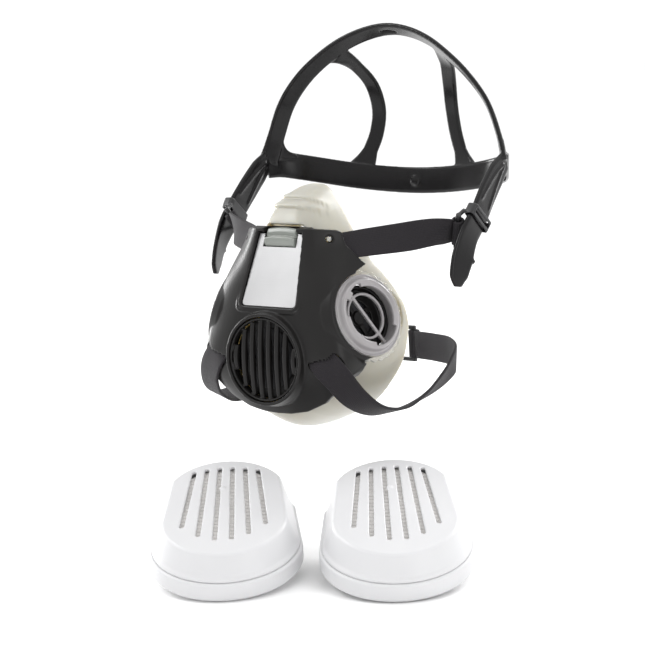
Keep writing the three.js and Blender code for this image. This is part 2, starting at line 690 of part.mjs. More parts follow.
const UPPER_STRAP = [
  { at: [21.6, -24.2, 42.4], across: [0.2, -0.56, -0.8] },
  { at: [26.8, -18.2, 43.0], across: [0.2, -0.56, -0.8] },
  { at: [37.5, -9.4, 44.2], across: [0.15, -0.4, -0.86] },
  { at: [52, 0, 45.8], across: [0.05, -0.2, -0.92] },
  { at: [62, 10.8, 47.0], across: [-0.2, 0.1, -0.9] },
  { at: [67.3, 20.0, 46.3], across: [-0.35, 0.4, -0.85] },
];
const STRAP_BAR = { centre: v(69, 22.2, 46.3), along: v(-0.35, 0.4, -0.85).normalize(), radius: 1.4 };
const NECK_STRAP = [
  { at: [28.5, -42.6, -4.2], across: [0.72, 0.33, 0.61] },
  { at: [32.2, -46.6, -8.6], across: [0.72, 0.33, 0.61] },
  { at: [39.5, -44.6, -18], across: [0.77, 0.2, 0.6] },
  { at: [44.5, -38, -28.5], across: [0.86, 0.05, 0.5] },
  { at: [48, -26, -36.5], across: [0.85, -0.3, 0.4] },
  { at: [50.5, -8, -39], across: [0.75, -0.6, 0.25] },
  { at: [53.5, 10, -35.5], across: [0.6, -0.72, 0.35] },
  { at: [56.5, 26, -28.5], across: [0.45, -0.45, 0.77] },
  { at: [56, 37, -22.5], across: [0.15, -0.1, 0.98] },
  { at: [48, 46, -20.5], across: [-0.1, 0.1, 1] },
  { at: [33, 55, -21], across: [0, 0, 1] },
  { at: [13.8, 63.8, -22.2], across: [0, 0, 1] },
];
const CLIP_BAR = { x: 13.2, y: 66, z: -22.2, radius: 1.3 };

function rod(from, to, radius, segments = 12) {
  const axis = to.clone().sub(from);
  const length = axis.length();
  const up = Math.abs(axis.z) > 0.9 * length ? v(0, 1, 0) : v(0, 0, 1);
  return solid(outwards(placeAlong(disc(radius, 0, length, segments), from, axis, up)));
}

function rodAbout(centre, along, halfLength, radius, segments) {
  const reach = along.clone().multiplyScalar(halfLength);
  return rod(centre.clone().sub(reach), centre.clone().add(reach), radius, segments);
}

/** The sewn loop at a strap's end, round a bar. */
function strapLoop(centre, along, width, barRadius) {
  const outer = rodAbout(centre, along, width / 2, barRadius + GAP + WEBBING, 12);
  return outer.subtract(rodAbout(centre, along, width, barRadius + GAP, 10));
}

function upperStrapBody() {
  const flat = solid(outwards(ribbon(UPPER_STRAP, UPPER_STRAP_WIDTH, WEBBING, 10)));
  const { centre, along, radius } = STRAP_BAR;
  return flat.subtract(rodAbout(centre, along, 20, radius + GAP, 10))
    .add(strapLoop(centre, along, UPPER_STRAP_WIDTH, radius));
}

function neckStrapBody() {
  const flat = solid(outwards(ribbon(NECK_STRAP, NECK_STRAP_WIDTH, WEBBING, 26)));
  const bar = v(CLIP_BAR.x, CLIP_BAR.y, CLIP_BAR.z);
  return flat.subtract(rodAbout(bar, v(0, 0, 1), 20, CLIP_BAR.radius + GAP, 10))
    .add(strapLoop(bar, v(0, 0, 1), NECK_STRAP_WIDTH, CLIP_BAR.radius));
}

/** The room that a strap needs where it passes through the shell. */
function strapClearance(stations, width) {
  return solid(outwards(ribbon(stations.slice(0, 4), width + 3 * GAP, WEBBING + 3 * GAP, 8)));
}

const SLEEVE = { wide: 18.4, high: 5.8, deep: 6.2, wall: 0.8, windowHigh: 2.6 };
const LINK = { offset: 8.6, down: 1.6, in: 2.9, radius: 1.1, barBeyond: 3.4, barInset: 0.8 };
const ARM_AT_BUCKLE = v(76.3, 30.4, 52.1);
const ARM_DOWN = v(-0.1, -0.66, -0.745).normalize();
const ARM_OUT = v(1, -0.08, -0.06).normalize();

/** A sleeve round the arm, with a window in its outer face, and a bar for the strap on two links. */
function buckleBody() {
  const { wide, high, deep, wall, windowHigh } = SLEEVE;
  const sleeve = solid(outwards(box(wide, high, deep)));
  const passage = solid(outwards(box(wide - 1.8, 5 * high, deep - 2 * wall)));
  const window = solid(outwards(box(wide - 3.8, windowHigh, 20).translate(0, 0, 8)));
  let body = sleeve.subtract(passage).subtract(window);
  const across = ARM_DOWN.clone().cross(ARM_OUT).normalize();
  const out = across.clone().cross(ARM_DOWN).normalize();
  const basis = new THREE.Matrix4().makeBasis(across, ARM_DOWN, out).setPosition(ARM_AT_BUCKLE);
  body = moved(body, basis);
  const { centre, along, radius } = STRAP_BAR;
  const reach = UPPER_STRAP_WIDTH / 2 + LINK.barBeyond;
  body = body.add(rodAbout(centre, along, reach, radius));
  const sameWay = Math.sign(across.dot(along));
  for (const end of [-1, 1]) {
    const tip = centre.clone().addScaledVector(along, end * (reach - LINK.barInset));
    const corner = ARM_AT_BUCKLE.clone().addScaledVector(ARM_DOWN, LINK.down)
      .addScaledVector(across, end * sameWay * LINK.offset).addScaledVector(out, -LINK.in);
    body = body.add(rod(corner, tip, LINK.radius));
  }
  return body;
}

// ---------------------------------------------------------------- head harness

const CROWN = [
  { at: [75.0, 61.4, 76.5], across: [-0.6, 0.85, 0], scale: 1.1 },
  { at: [73.2, 62.8, 82], across: [-0.6, 0.9, -0.1], scale: 1.05 },
  { at: [70.6, 64.3, 90.4], across: [-0.55, 0.9, -0.2] },
  { at: [63.7, 65.6, 106.9], across: [-0.48, 0.9, -0.33] },
  { at: [52.7, 66.5, 120.5], across: [-0.38, 0.9, -0.44] },
  { at: [40.5, 68.3, 130.7], across: [-0.3, 0.9, -0.5] },
  { at: [27.3, 70.9, 138.9], across: [-0.2, 0.9, -0.55] },
  { at: [13.5, 73.2, 144], across: [-0.1, 0.9, -0.58] },
  { at: [0, 74.2, 145.9], across: [0, 0.9, -0.58] },
];
const BACK_BAND = [
  { at: [75.2, 61.0, 74], across: [0, 0.3, 1] },
  { at: [71.5, 69.5, 73.6], across: [0, 0.1, 1] },
  { at: [64.5, 78, 71.4], across: [0, 0, 1] },
  { at: [54, 84.5, 68.9], across: [0, 0, 1] },
  { at: [38, 90, 66], across: [0, 0, 1] },
  { at: [20, 94.5, 63.8], across: [0, 0, 1] },
  { at: [0, 96, 62.9], across: [0, 0, 1] },
];
const HARNESS_RIB = [
  { at: [34, 71, 134.2], across: [0.84, -0.16, -0.52], scale: 1.8 },
  { at: [31.6, 77, 131.6], across: [0.88, -0.15, -0.4], scale: 1.25 },
  { at: [28.8, 85.5, 126], across: [0.95, -0.1, -0.1] },
  { at: [25, 93.5, 116], across: [1, -0.1, 0] },
  { at: [23.5, 97.5, 102], across: [1, -0.15, 0] },
  { at: [25.5, 97.3, 89], across: [1, -0.2, 0] },
  { at: [29, 95.6, 79.5], across: [1, -0.25, 0] },
  { at: [31.2, 94.2, 74], across: [1, -0.27, 0], scale: 1.4 },
  { at: [34.5, 91.6, 67], across: [1, -0.3, 0], scale: 2.1 },
];
const ARM = [
  { at: [75.2, 60.5, 77], across: [0, 0.66, -0.75], scale: 0.7 },
  { at: [75.2, 52.4, 71.5], across: [0, 0.66, -0.75], scale: 0.95 },
  { at: [75.6, 41.9, 62.8], across: [0, 0.7, -0.7] },
  { at: [76.3, 30.4, 52.1], across: [0, 0.74, -0.66] },
  { at: [76.1, 21, 44], across: [0.1, 0.84, -0.5], scale: 0.95 },
  { at: [76.1, 13.8, 33], across: [0.28, 0.9, -0.3], scale: 0.9 },
  { at: [75.8, 10.6, 25.5], across: [0.3, 0.9, -0.3], scale: 0.75 },
  { at: [75.7, 9.6, 20.5], across: [0.3, 0.9, -0.3], scale: 0.3 },
];

function harnessBody() {
  const arc = (stations) => [
    ...stations,
    ...stations.slice(0, -1).reverse()
      .map(({ at: [x, y, z], across: [a, b, c], scale }) => ({ at: [-x, y, z], across: [-a, b, c], scale })),
  ];
  let body = solid(outwards(ribbon(arc(CROWN), CROWN_WIDTH, HARNESS_THICKNESS, 24)));
  body = body.add(solid(outwards(ribbon(arc(BACK_BAND), BACK_WIDTH, HARNESS_THICKNESS, 16))));
  const rib = solid(outwards(ribbon(HARNESS_RIB, RIB_BAND_WIDTH, HARNESS_THICKNESS, 10)));
  const arm = solid(outwards(ribbon(ARM, ARM_WIDTH, HARNESS_THICKNESS, 14)));
  for (const piece of [rib, arm]) {
    body = body.add(piece).add(mirrored(piece));
  }
  const crownSlot = box(9, 2.4, 12).translate(0, 74.2, 145.9);
  const stud = rod(v(0, 92.6, 62.9), v(0, 96, 62.9), 2.4);
  return body.subtract(solid(outwards(crownSlot))).add(stud);
}

// ---------------------------------------------------------------- neck clip

function clipFrame(side) {
  const { x, y, z, radius } = CLIP_BAR;
  const high = NECK_STRAP_WIDTH + 4.6;
  let body = rodAbout(v(side * x, y, z), v(0, 0, 1), high / 2, radius);
  for (const end of [-1, 1]) {
    const cheek = box(12.4, 2.6, 2).translate(side * (x - 6), y, z + end * (high / 2 - 1));
    body = body.add(solid(outwards(cheek)));
  }
  return body.add(solid(outwards(box(3, 2.6, high).translate(side * 2.2, y, z))));
}

function clipHookBody() {
  const { y, z } = CLIP_BAR;
  const outline = new THREE.Shape();
  outline.moveTo(3.6, 0.6);
  outline.lineTo(3.6, 4.2);
  outline.lineTo(-8.4, 4.2);
  outline.lineTo(-8.4, -1.2);
  outline.lineTo(-6.4, -1.2);
  outline.lineTo(-6.4, 2.0);
  outline.lineTo(0.9, 2.0);
  outline.lineTo(0.9, 0.6);
  const tongue = extrudeShape(outline, 9).translate(0, y, z - 4.5);
  return clipFrame(1).add(solid(outwards(tongue)));
}

// ---------------------------------------------------------------- filters

const FILTER = { halfWidth: 36.4, nearRadius: 36.4, widest: -11.5, farHalfWidth: 33.2, far: 24, end: 47.5 };
const PLUG_PLACE = 26;

/** The filter's outline in plan, drawn in by a margin; the round end points to -y. */
function filterShape(margin) {
  const { halfWidth, widest, farHalfWidth, far, end } = FILTER;
  const wide = halfWidth - margin;
  const farWide = farHalfWidth - margin;
  const rise = end - margin - far;
  const radius = (farWide ** 2 + rise ** 2) / (2 * rise);
  const half = Math.asin(farWide / radius);
  const shape = new THREE.Shape();
  shape.moveTo(wide, widest);
  shape.lineTo(farWide, far);
  shape.absarc(0, end - margin - radius, radius, Math.PI / 2 - half, Math.PI / 2 + half, false);
  shape.lineTo(-wide, widest);
  shape.absellipse(0, widest, wide, FILTER.nearRadius - margin, Math.PI, 2 * Math.PI, false);
  return shape;
}

function filterRing(margin, height, slope = 0) {
  const points = filterShape(margin).getPoints(5)
    .filter((p, k, all) => p.distanceTo(all[(k + all.length - 1) % all.length]) > 1e-3);
  const near = -48;
  return points.map((p) => v(p.x, p.y, height + slope * (p.y - near)));
}

function coverBody() {
  const base = FILTER_RIM_HEIGHT + GAP;
  const deck = FILTER_DECK_HEIGHT;
  let body = solid(loft([
    filterRing(1.6, base), filterRing(2.4, base + 3, DECK_SLOPE * 0.4),
    filterRing(6.4, deck - 1.6, DECK_SLOPE), filterRing(8.2, deck, DECK_SLOPE),
  ]));
  body = body.subtract(solid(loft([
    filterRing(3.4, base - 1), filterRing(4.4, base + 2, DECK_SLOPE * 0.4),
    filterRing(8.6, deck - 3.6, DECK_SLOPE), filterRing(9.6, deck - 1.8, DECK_SLOPE),
  ])));
  for (const slot of deckSlots()) {
    body = body.subtract(slot);
  }
  const pip = disc(1.6, 0, 0.7, 14).translate(-1.3, 15, deck + DECK_SLOPE * 63 - 0.2);
  return body.add(solid(outwards(pip)));
}

function deckSlots() {
  const slots = [];
  for (let k = 0; k < SLOT_COUNT; k += 1) {
    const place = k - (SLOT_COUNT - 1) / 2;
    const near = v(7.9 * place, -29.5 + 1.9 * place ** 2, 0);
    const far = v(6.2 * place, 34.5 - 0.5 * place ** 2, 0);
    const along = far.clone().sub(near);
    const slot = new THREE.Shape();
    const reach = along.length() / 2 - SLOT_WIDTH / 2;
    slot.absarc(0, reach, SLOT_WIDTH / 2, 0, Math.PI, false);
    slot.absarc(0, -reach, SLOT_WIDTH / 2, Math.PI, 2 * Math.PI, false);
    const middle = near.clone().add(far).multiplyScalar(0.5);
    const turn = Math.atan2(-along.x, along.y);
    slots.push(solid(outwards(extrudeShape(slot, 40, 2).rotateZ(turn)
      .translate(middle.x, middle.y, FILTER_RIM_HEIGHT + 2.4))));
  }
  return slots;
}

function baseBody() {
  let body = solid(loft([filterRing(1.0, 0), filterRing(0, 1.2), filterRing(0, FILTER_RIM_HEIGHT - 1),
    filterRing(0.8, FILTER_RIM_HEIGHT)]));
  body = body.subtract(solid(loft([filterRing(3, 2), filterRing(3, FILTER_RIM_HEIGHT + 1)])));
  const plug = turned([[11, 4], [PLUG_RADIUS, 4], [PLUG_RADIUS, -PLUG_HEIGHT], [11, -PLUG_HEIGHT]]);
  body = body.add(moved(plug, new THREE.Matrix4().makeTranslation(0, PLUG_PLACE, 0)));
  for (const [start, end] of NOTCHES) {
    const lug = sector(PLUG_RADIUS - 0.8, NOTCH_RADIUS - 0.4, start, end, 3);
    const tab = extrudeShape(lug, 1.4, 4).translate(0, PLUG_PLACE, -PLUG_HEIGHT + 0.6);
    body = body.add(solid(outwards(tab)));
  }
  return body.subtract(solid(outwards(disc(11, -PLUG_HEIGHT - 1, 8, 30).translate(0, PLUG_PLACE, 0))));
}

function padBody() {
  return solid(loft([
    filterRing(5, 4.6), filterRing(5.8, FILTER_RIM_HEIGHT),
    filterRing(11.2, FILTER_DECK_HEIGHT - 4.4, DECK_SLOPE),
  ]));
}

function filterGasketBody() {
  const ring = turned([
    [PLUG_RADIUS + GAP, -0.4], [17.4, -0.4], [17.4, -2.2], [PLUG_RADIUS + GAP, -2.2],
  ]);
  return moved(ring, new THREE.Matrix4().makeTranslation(0, PLUG_PLACE, 0));
}

/** Places a filter on the floor, leaning on its round end's rim and on its plug. */
function filterMatrix(x, y) {
  const lean = Math.atan2(PLUG_HEIGHT, PLUG_PLACE - PLUG_RADIUS + FILTER.nearRadius - FILTER.widest);
  const turn = new THREE.Matrix4().makeRotationZ(FILTER_TURN);
  const tilt = new THREE.Matrix4().makeRotationX(lean);
  const foot = v(0, FILTER.widest - FILTER.nearRadius + 1, 0).applyMatrix4(tilt);
  const place = new THREE.Matrix4().makeTranslation(x, y, FLOOR_Z - foot.z);
  return place.multiply(turn).multiply(tilt);
}

function addFilter(suffix, x, y) {
  const place = filterMatrix(x, y);
  addNode(`filter_cover_${suffix}`, moved(coverBody(), place), 'filter');
  addNode(`filter_base_${suffix}`, moved(baseBody(), place), 'filter');
  addNode(`filter_pad_${suffix}`, moved(padBody(), place), 'media');
  addNode(`filter_gasket_${suffix}`, moved(filterGasketBody(), place), 'rubber');
}

// ---------------------------------------------------------------- assembly

const strapRoom = [
  strapClearance(UPPER_STRAP, UPPER_STRAP_WIDTH),
  strapClearance(NECK_STRAP, NECK_STRAP_WIDTH),
];

addNode('facepiece', facepieceBody(strapRoom), 'silicone');
addNode('front_shell', shellBody(strapRoom), 'shell');
addNode('front_plate', frontPlateBody(), 'plate');
addNode('release_button', releaseButtonBody(), 'button');
addNode('button_spring', buttonSpringBody(), 'spring');
addNode('exhale_seat', exhaleSeatBody(), 'shell');
addNode('exhale_valve', exhaleValveBody(), 'valve');
addNode('exhale_cover', exhaleCoverBody(), 'shell');
addConnectorSide('left', 1);
addConnectorSide('right', -1);
addNode('head_harness', harnessBody(), 'rubber');
for (const [suffix, side] of [['left', 1], ['right', -1]]) {
  const handed = (body) => (side > 0 ? body : mirrored(body));
  addNode(`upper_strap_${suffix}`, handed(upperStrapBody()), 'webbing');
  addNode(`buckle_${suffix}`, handed(buckleBody()), 'buckle');
  addNode(`neck_strap_${suffix}`, handed(neckStrapBody()), 'webbing');
}
addNode('neck_clip_hook', clipHookBody(), 'buckle');
addNode('neck_clip_loop', clipFrame(-1), 'buckle');
addFilter('left', FILTER_PLACES.left.x, FILTER_PLACES.left.y);
addFilter('right', FILTER_PLACES.right.x, FILTER_PLACES.right.y);

respirator.position.copy(SEAL_CENTRE).negate();
export default respirator;
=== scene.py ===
"""Half-mask respirator with its two filters beside it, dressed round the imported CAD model.

Shapes are laid out in millimetres about the same point as the CAD source, and finish
moves them into the row frame, in metres.
"""
from math import acos, asin, atan2, cos, exp, pi, radians, sin, sqrt

import bmesh
import bpy
from mathutils import Matrix, Vector


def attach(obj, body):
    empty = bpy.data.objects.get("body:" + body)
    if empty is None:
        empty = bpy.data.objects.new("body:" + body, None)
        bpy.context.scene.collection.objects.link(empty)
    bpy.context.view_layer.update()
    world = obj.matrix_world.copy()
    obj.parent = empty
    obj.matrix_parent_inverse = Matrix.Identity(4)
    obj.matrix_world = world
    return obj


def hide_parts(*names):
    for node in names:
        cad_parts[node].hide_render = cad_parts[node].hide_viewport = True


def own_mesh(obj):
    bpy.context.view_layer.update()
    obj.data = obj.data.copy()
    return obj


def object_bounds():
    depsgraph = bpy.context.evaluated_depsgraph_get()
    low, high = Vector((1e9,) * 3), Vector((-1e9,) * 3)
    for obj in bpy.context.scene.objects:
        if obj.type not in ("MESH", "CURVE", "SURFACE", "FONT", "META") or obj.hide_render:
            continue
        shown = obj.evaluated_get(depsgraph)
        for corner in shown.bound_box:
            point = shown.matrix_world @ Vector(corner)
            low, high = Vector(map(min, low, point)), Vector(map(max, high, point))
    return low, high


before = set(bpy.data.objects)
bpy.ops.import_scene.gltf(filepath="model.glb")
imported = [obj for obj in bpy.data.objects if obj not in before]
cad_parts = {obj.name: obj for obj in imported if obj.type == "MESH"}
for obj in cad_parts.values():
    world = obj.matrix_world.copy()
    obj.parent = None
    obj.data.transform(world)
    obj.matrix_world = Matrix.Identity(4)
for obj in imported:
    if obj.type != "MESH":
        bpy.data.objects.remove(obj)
cad_low, cad_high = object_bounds()

X, Y, Z = (Vector(axis) for axis in ((1, 0, 0), (0, 1, 0), (0, 0, 1)))
MM = 0.001
SEAL_CENTRE = Vector((0, 5, 10))
MIRROR = Matrix.Diagonal((-1, 1, 1, 1))
SIDES = {"left": Matrix.Identity(4), "right": MIRROR}
VIEW_ANGLES = (35.5, 10.0, 3.0)
VIEW_DISTANCE = 0.9
LENS = 97.96
SENSOR = 36
WORLD_LIGHT = 1.06
GLOSS_DRIFT = 0.06
ROD_SIDES = 24
BEAD_SIDES = 10
FLOOR_REACH = 6.0
FLOOR_GAP = 0.0002
scene = bpy.context.scene


# ---- camera, light and floor

def make_camera():
    azimuth, elevation, roll = (radians(a) for a in VIEW_ANGLES)
    back = Vector((sin(azimuth) * cos(elevation),
                   -cos(azimuth) * cos(elevation), sin(elevation)))
    level = Vector((cos(azimuth), sin(azimuth), 0))
    upright = back.cross(level)
    right = level * cos(roll) - upright * sin(roll)
    up = upright * cos(roll) + level * sin(roll)
    camera = bpy.data.objects.new("camera", bpy.data.cameras.new("camera"))
    scene.collection.objects.link(camera)
    camera.data.lens = LENS
    camera.data.sensor_width = SENSOR
    camera.matrix_world = turn_to(right, up, back, back * VIEW_DISTANCE - SEAL_CENTRE * MM)
    scene.camera = camera


def make_light(name, place, size, power, aim=(0, 0, 0)):
    light = bpy.data.lights.new(name, "AREA")
    light.shape = "RECTANGLE"
    light.size, light.size_y = size
    light.energy = power
    lamp = bpy.data.objects.new(name, light)
    scene.collection.objects.link(lamp)
    lamp.location = place
    lamp.rotation_euler = (Vector(aim) - Vector(place)).to_track_quat("-Z", "Y").to_euler()


def make_surroundings():
    world = bpy.data.worlds.new("studio")
    scene.world = world
    world.use_nodes = True
    background = world.node_tree.nodes["Background"]
    background.inputs["Color"].default_value = (1, 1, 1, 1)
    background.inputs["Strength"].default_value = WORLD_LIGHT
    scene.view_settings.view_transform = "Standard"
    make_light("key", (-0.75, -0.45, 0.85), (0.4, 0.4), 4)
    make_light("left", (-0.95, 0.05, -0.02), (0.3, 0.7), 10)
    make_light("side", (0.95, -0.35, 0.35), (0.35, 0.8), 2)
    make_light("top", (0.1, 0.15, 1.0), (0.8, 0.8), 2)
    make_light("back", (0.35, 1.1, 0.6), (0.5, 0.5), 9, aim=(0.05, 0.07, 0.1))


def make_floor():
    height = cad_low.z - FLOOR_GAP
    corners = [(x * FLOOR_REACH, y * FLOOR_REACH, height) for x, y in ((-1, -1), (1, -1), (1, 1), (-1, 1))]
    mesh = bpy.data.meshes.new("floor")
    mesh.from_pydata(corners, [], [(0, 1, 2, 3)])
    floor = bpy.data.objects.new("floor", mesh)
    scene.collection.objects.link(floor)
    paper = surface("floor_paper", (0.97, 0.97, 0.97), 0.8, grain=400, bump=0, mottle=0,
                    Specular_IOR_Level=0.1)
    floor.data.materials.append(paper)


# ---- materials

def node(made, kind, **inputs):
    """Adds a shader node whose named inputs are set to constants."""
    added = made.node_tree.nodes.new("ShaderNode" + kind)
    for socket, value in inputs.items():
        added.inputs[socket.replace("_", " ")].default_value = value
    return added


def surface(name, colour, roughness, grain=900, bump=0.1, mottle=0.06, **constants):
    """A moulded surface: slow colour and gloss drift, and a fine grain in its bump."""
    made = bpy.data.materials.new(name)
    made.use_nodes = True
    link = made.node_tree.links.new
    shader = made.node_tree.nodes["Principled BSDF"]
    place = node(made, "TexCoord")
    slow = node(made, "TexNoise", Scale=38, Detail=5)
    link(place.outputs["Object"], slow.inputs["Vector"])
    tint = node(made, "ValToRGB")
    for stop, position, share in zip(tint.color_ramp.elements, (0.3, 0.7), (1 - mottle, 1 + mottle)):
        stop.position = position
        stop.color = (*(min(1, c * share) for c in colour), 1)
    link(slow.outputs["Fac"], tint.inputs["Fac"])
    link(tint.outputs["Color"], shader.inputs["Base Color"])
    gloss = node(made, "MapRange", To_Min=max(0.02, roughness - GLOSS_DRIFT), To_Max=roughness + GLOSS_DRIFT)
    link(slow.outputs["Fac"], gloss.inputs["Value"])
    link(gloss.outputs["Result"], shader.inputs["Roughness"])
    fine = node(made, "TexNoise", Scale=grain, Detail=3)
    link(place.outputs["Object"], fine.inputs["Vector"])
    relief = node(made, "Bump", Strength=bump, Distance=0.0002)
    link(fine.outputs["Fac"], relief.inputs["Height"])
    link(relief.outputs["Normal"], shader.inputs["Normal"])
    for socket, value in constants.items():
        shader.inputs[socket.replace("_", " ")].default_value = value
    return made


def brushed(name, colour, roughness, direction):
    """Brushed metal: grain drawn out along one direction."""
    made = surface(name, colour, roughness, bump=0, Metallic=0.9)
    nodes = made.node_tree.nodes
    link = made.node_tree.links.new
    stretch = node(made, "Mapping", Scale=[30 if axis else 2600 for axis in direction])
    link(nodes["Texture Coordinate"].outputs["Object"], stretch.inputs["Vector"])
    streaks = node(made, "TexNoise", Scale=1, Detail=4)
    link(stretch.outputs["Vector"], streaks.inputs["Vector"])
    nodes["Bump"].inputs["Strength"].default_value = 0.12
    link(streaks.outputs["Fac"], nodes["Bump"].inputs["Height"])
    return made


def woven(name, colour, across_pitch, along_pitch):
    """Webbing: ribs across it and yarns along it, in millimetres of its own cloth (its UV)."""
    made = surface(name, colour, 0.75, bump=0, mottle=0.12, Sheen_Weight=0.08,
                   Sheen_Roughness=0.4, Specular_IOR_Level=0.25)
    link = made.node_tree.links.new
    cloth = node(made, "UVMap")
    cloth.uv_map = "cloth"
    height = None
    for pitch, direction, strength in ((along_pitch, "Y", 1.0), (across_pitch, "X", 0.6)):
        wave = node(made, "TexWave", Scale=pi / (10 * pitch), Distortion=0.6, Detail_Scale=2)
        wave.wave_type = "BANDS"
        wave.bands_direction = direction
        link(cloth.outputs["UV"], wave.inputs["Vector"])
        scaled = node(made, "Math")
        scaled.operation = "MULTIPLY_ADD"
        scaled.inputs[1].default_value = strength
        link(wave.outputs["Fac"], scaled.inputs[0])
        if height is not None:
            link(height.outputs[0], scaled.inputs[2])
        height = scaled
    relief = made.node_tree.nodes["Bump"]
    relief.inputs["Strength"].default_value = 0.5
    link(height.outputs[0], relief.inputs["Height"])
    return made


MATERIALS = {
    "silicone": surface("silicone", (0.37, 0.365, 0.325), 0.36, grain=500, bump=0.04, mottle=0.03,
                        Subsurface_Weight=0.6, Subsurface_Radius=(0.012, 0.010, 0.007),
                        Subsurface_Scale=1.0, Coat_Weight=0.15, Coat_Roughness=0.3),
    "shell": surface("shell", (0.009, 0.0084, 0.0082), 0.34, grain=1500, bump=0.14, Specular_IOR_Level=0.22),
    "plate": brushed("plate", (0.5, 0.5, 0.505), 0.36, (1, 0, 0)),
    "button": surface("button", (0.19, 0.205, 0.185), 0.24, bump=0.03, Subsurface_Weight=0.3,
                      Subsurface_Radius=(0.003, 0.003, 0.003), Coat_Weight=0.3),
    "spring": brushed("spring", (0.7, 0.7, 0.7), 0.25, (0, 0, 1)),
    "valve": surface("valve", (0.012, 0.012, 0.014), 0.5, grain=700, bump=0.08),
    "connector": surface("connector", (0.27, 0.258, 0.262), 0.2, bump=0.03, mottle=0.03,
                         Subsurface_Weight=0.35, Subsurface_Radius=(0.003, 0.003, 0.003),
                         Coat_Weight=0.4, Coat_Roughness=0.12),
    "clear": surface("clear", (0.92, 0.91, 0.88), 0.1, bump=0.03, mottle=0.01,
                     Transmission_Weight=0.85, IOR=1.43),
    "rubber": surface("rubber", (0.006, 0.0056, 0.006), 0.22, grain=600, bump=0.04, Specular_IOR_Level=0.24),
    "webbing": woven("webbing", (0.014, 0.012, 0.0145), 0.9, 0.7),
    "buckle": surface("buckle", (0.010, 0.010, 0.011), 0.34, grain=1200, bump=0.08),
    "filter": surface("filter", (0.59, 0.59, 0.60), 0.36, grain=800, bump=0.03, mottle=0.012,
                      Subsurface_Weight=0.25, Subsurface_Radius=(0.002, 0.002, 0.002)),
    "media": surface("media", (0.86, 0.84, 0.82), 0.9, grain=2600, bump=0.3, mottle=0.05),
    "gasket": surface("gasket", (0.03, 0.03, 0.032), 0.5, grain=900, bump=0.08),
}


# ---- shapes

def turn_to(x, y, z, at):
    """The matrix that carries local axes to x, y and z, and the local origin to a place."""
    matrix = Matrix((x, y, z)).transposed().to_4x4()
    matrix.translation = at
    return matrix


def shift(x, y, z):
    return Matrix.Translation((x, y, z))


def spin(angle, axis="Z"):
    return Matrix.Rotation(angle, 4, axis)


def unit(x, y, z):
    return Vector((x, y, z)).normalized()


def about(axis, at, up=Z):
    z = axis.normalized()
    x = up.cross(z).normalized()
    return turn_to(x, z.cross(x), z, at)


def body(points, faces, matrix=None):
    """A closed mesh object from points and faces, facing outwards."""
    mesh = bpy.data.meshes.new("part")
    mesh.from_pydata([tuple(p) for p in points], [], faces)
    if matrix is not None:
        mesh.transform(matrix)
    shape = bmesh.new()
    shape.from_mesh(mesh)
    bmesh.ops.remove_doubles(shape, verts=shape.verts, dist=1e-4)
    bmesh.ops.recalc_face_normals(shape, faces=shape.faces)
    shape.to_mesh(mesh)
    shape.free()
    obj = bpy.data.objects.new("part", mesh)
    scene.collection.objects.link(obj)
    return obj


def loft(rings, matrix=None, closed=False):
    """A body through rings of points; its ends are closed by fans, or meet each other."""
    count, total = len(rings[0]), len(rings)
    points = [Vector(p) for ring in rings for p in ring]
    faces = []
    for row in range(total if closed else total - 1):
        a, b = row * count, (row + 1) % total * count
        for col in range(count):
            nxt = (col + 1) % count
            faces.append((a + col, a + nxt, b + nxt, b + col))
    for start in () if closed else (0, (total - 1) * count):
        middle = len(points)
        points.append(sum(points[start:start + count], Vector()) / count)
        faces += [(start + col, start + (col + 1) % count, middle) for col in range(count)]
    return body(points, faces, matrix)


def angles(count):
    return [2 * pi * k / count for k in range(count)]


def turned(profile, matrix=None, segments=120):
    """A body of revolution about local Z from closed profile points (radius, height)."""
    rings = [[(r * cos(a), r * sin(a), h) for a in angles(segments)] for r, h in profile]
    return loft(rings, matrix, closed=all(r > 0 for r, _ in profile))


def prism(outline, low, high, matrix=None):
    """An outline in local x and y, from one height to another."""
    count = len(outline)
    points = [(x, y, low) for x, y in outline] + [(x, y, high) for x, y in outline]
    faces = [(k, (k + 1) % count, count + (k + 1) % count, count + k) for k in range(count)]
    faces += [tuple(reversed(range(count))), tuple(range(count, 2 * count))]
    return body(points, faces, matrix)


def disc(radius, low, high, matrix=None, segments=96):
    return prism(arc(0, 0, radius, 0, 2 * pi, segments)[:-1], low, high, matrix)


def block(width, depth, height, centre=(0, 0, 0), matrix=None):
    x, y, z = centre
    outline = [(x - width / 2, y - depth / 2), (x + width / 2, y - depth / 2),
               (x + width / 2, y + depth / 2), (x - width / 2, y + depth / 2)]
    return prism(outline, z - height / 2, z + height / 2, matrix)


def rod(start, end, radius):
    axis = end - start
    up = Y if abs(axis.normalized().z) > 0.9 else Z
    return disc(radius, 0, axis.length, about(axis, start, up), ROD_SIDES)


def arc(x, y, radius, start, end, steps=10):
    return [(x + radius * cos(start + (end - start) * k / steps),
             y + radius * sin(start + (end - start) * k / steps)) for k in range(steps + 1)]


def slot_outline(reach, radius, steps=10):
    """A slot's outline along local y, with round ends about -reach and reach."""
    return arc(0, reach, radius, 0, pi, steps) + arc(0, -reach, radius, pi, 2 * pi, steps)


def quadratic(a, b, c, steps=8):
    path = []
    for k in range(steps + 1):
        t = k / steps
        path.append(a * (1 - t) ** 2 + b * 2 * t * (1 - t) + c * t ** 2)
    return path


def soft_path(points, steps):
    """Smooth path through the middles of a control polygon's sides, from end to end."""
    path = [points[0].copy()]
    for k in range(1, len(points) - 1):
        start = points[0] if k == 1 else points[k - 1].lerp(points[k], 0.5)
        end = points[-1] if k + 2 == len(points) else points[k].lerp(points[k + 1], 0.5)
        path += quadratic(start, points[k], end, steps)[1:]
    return path


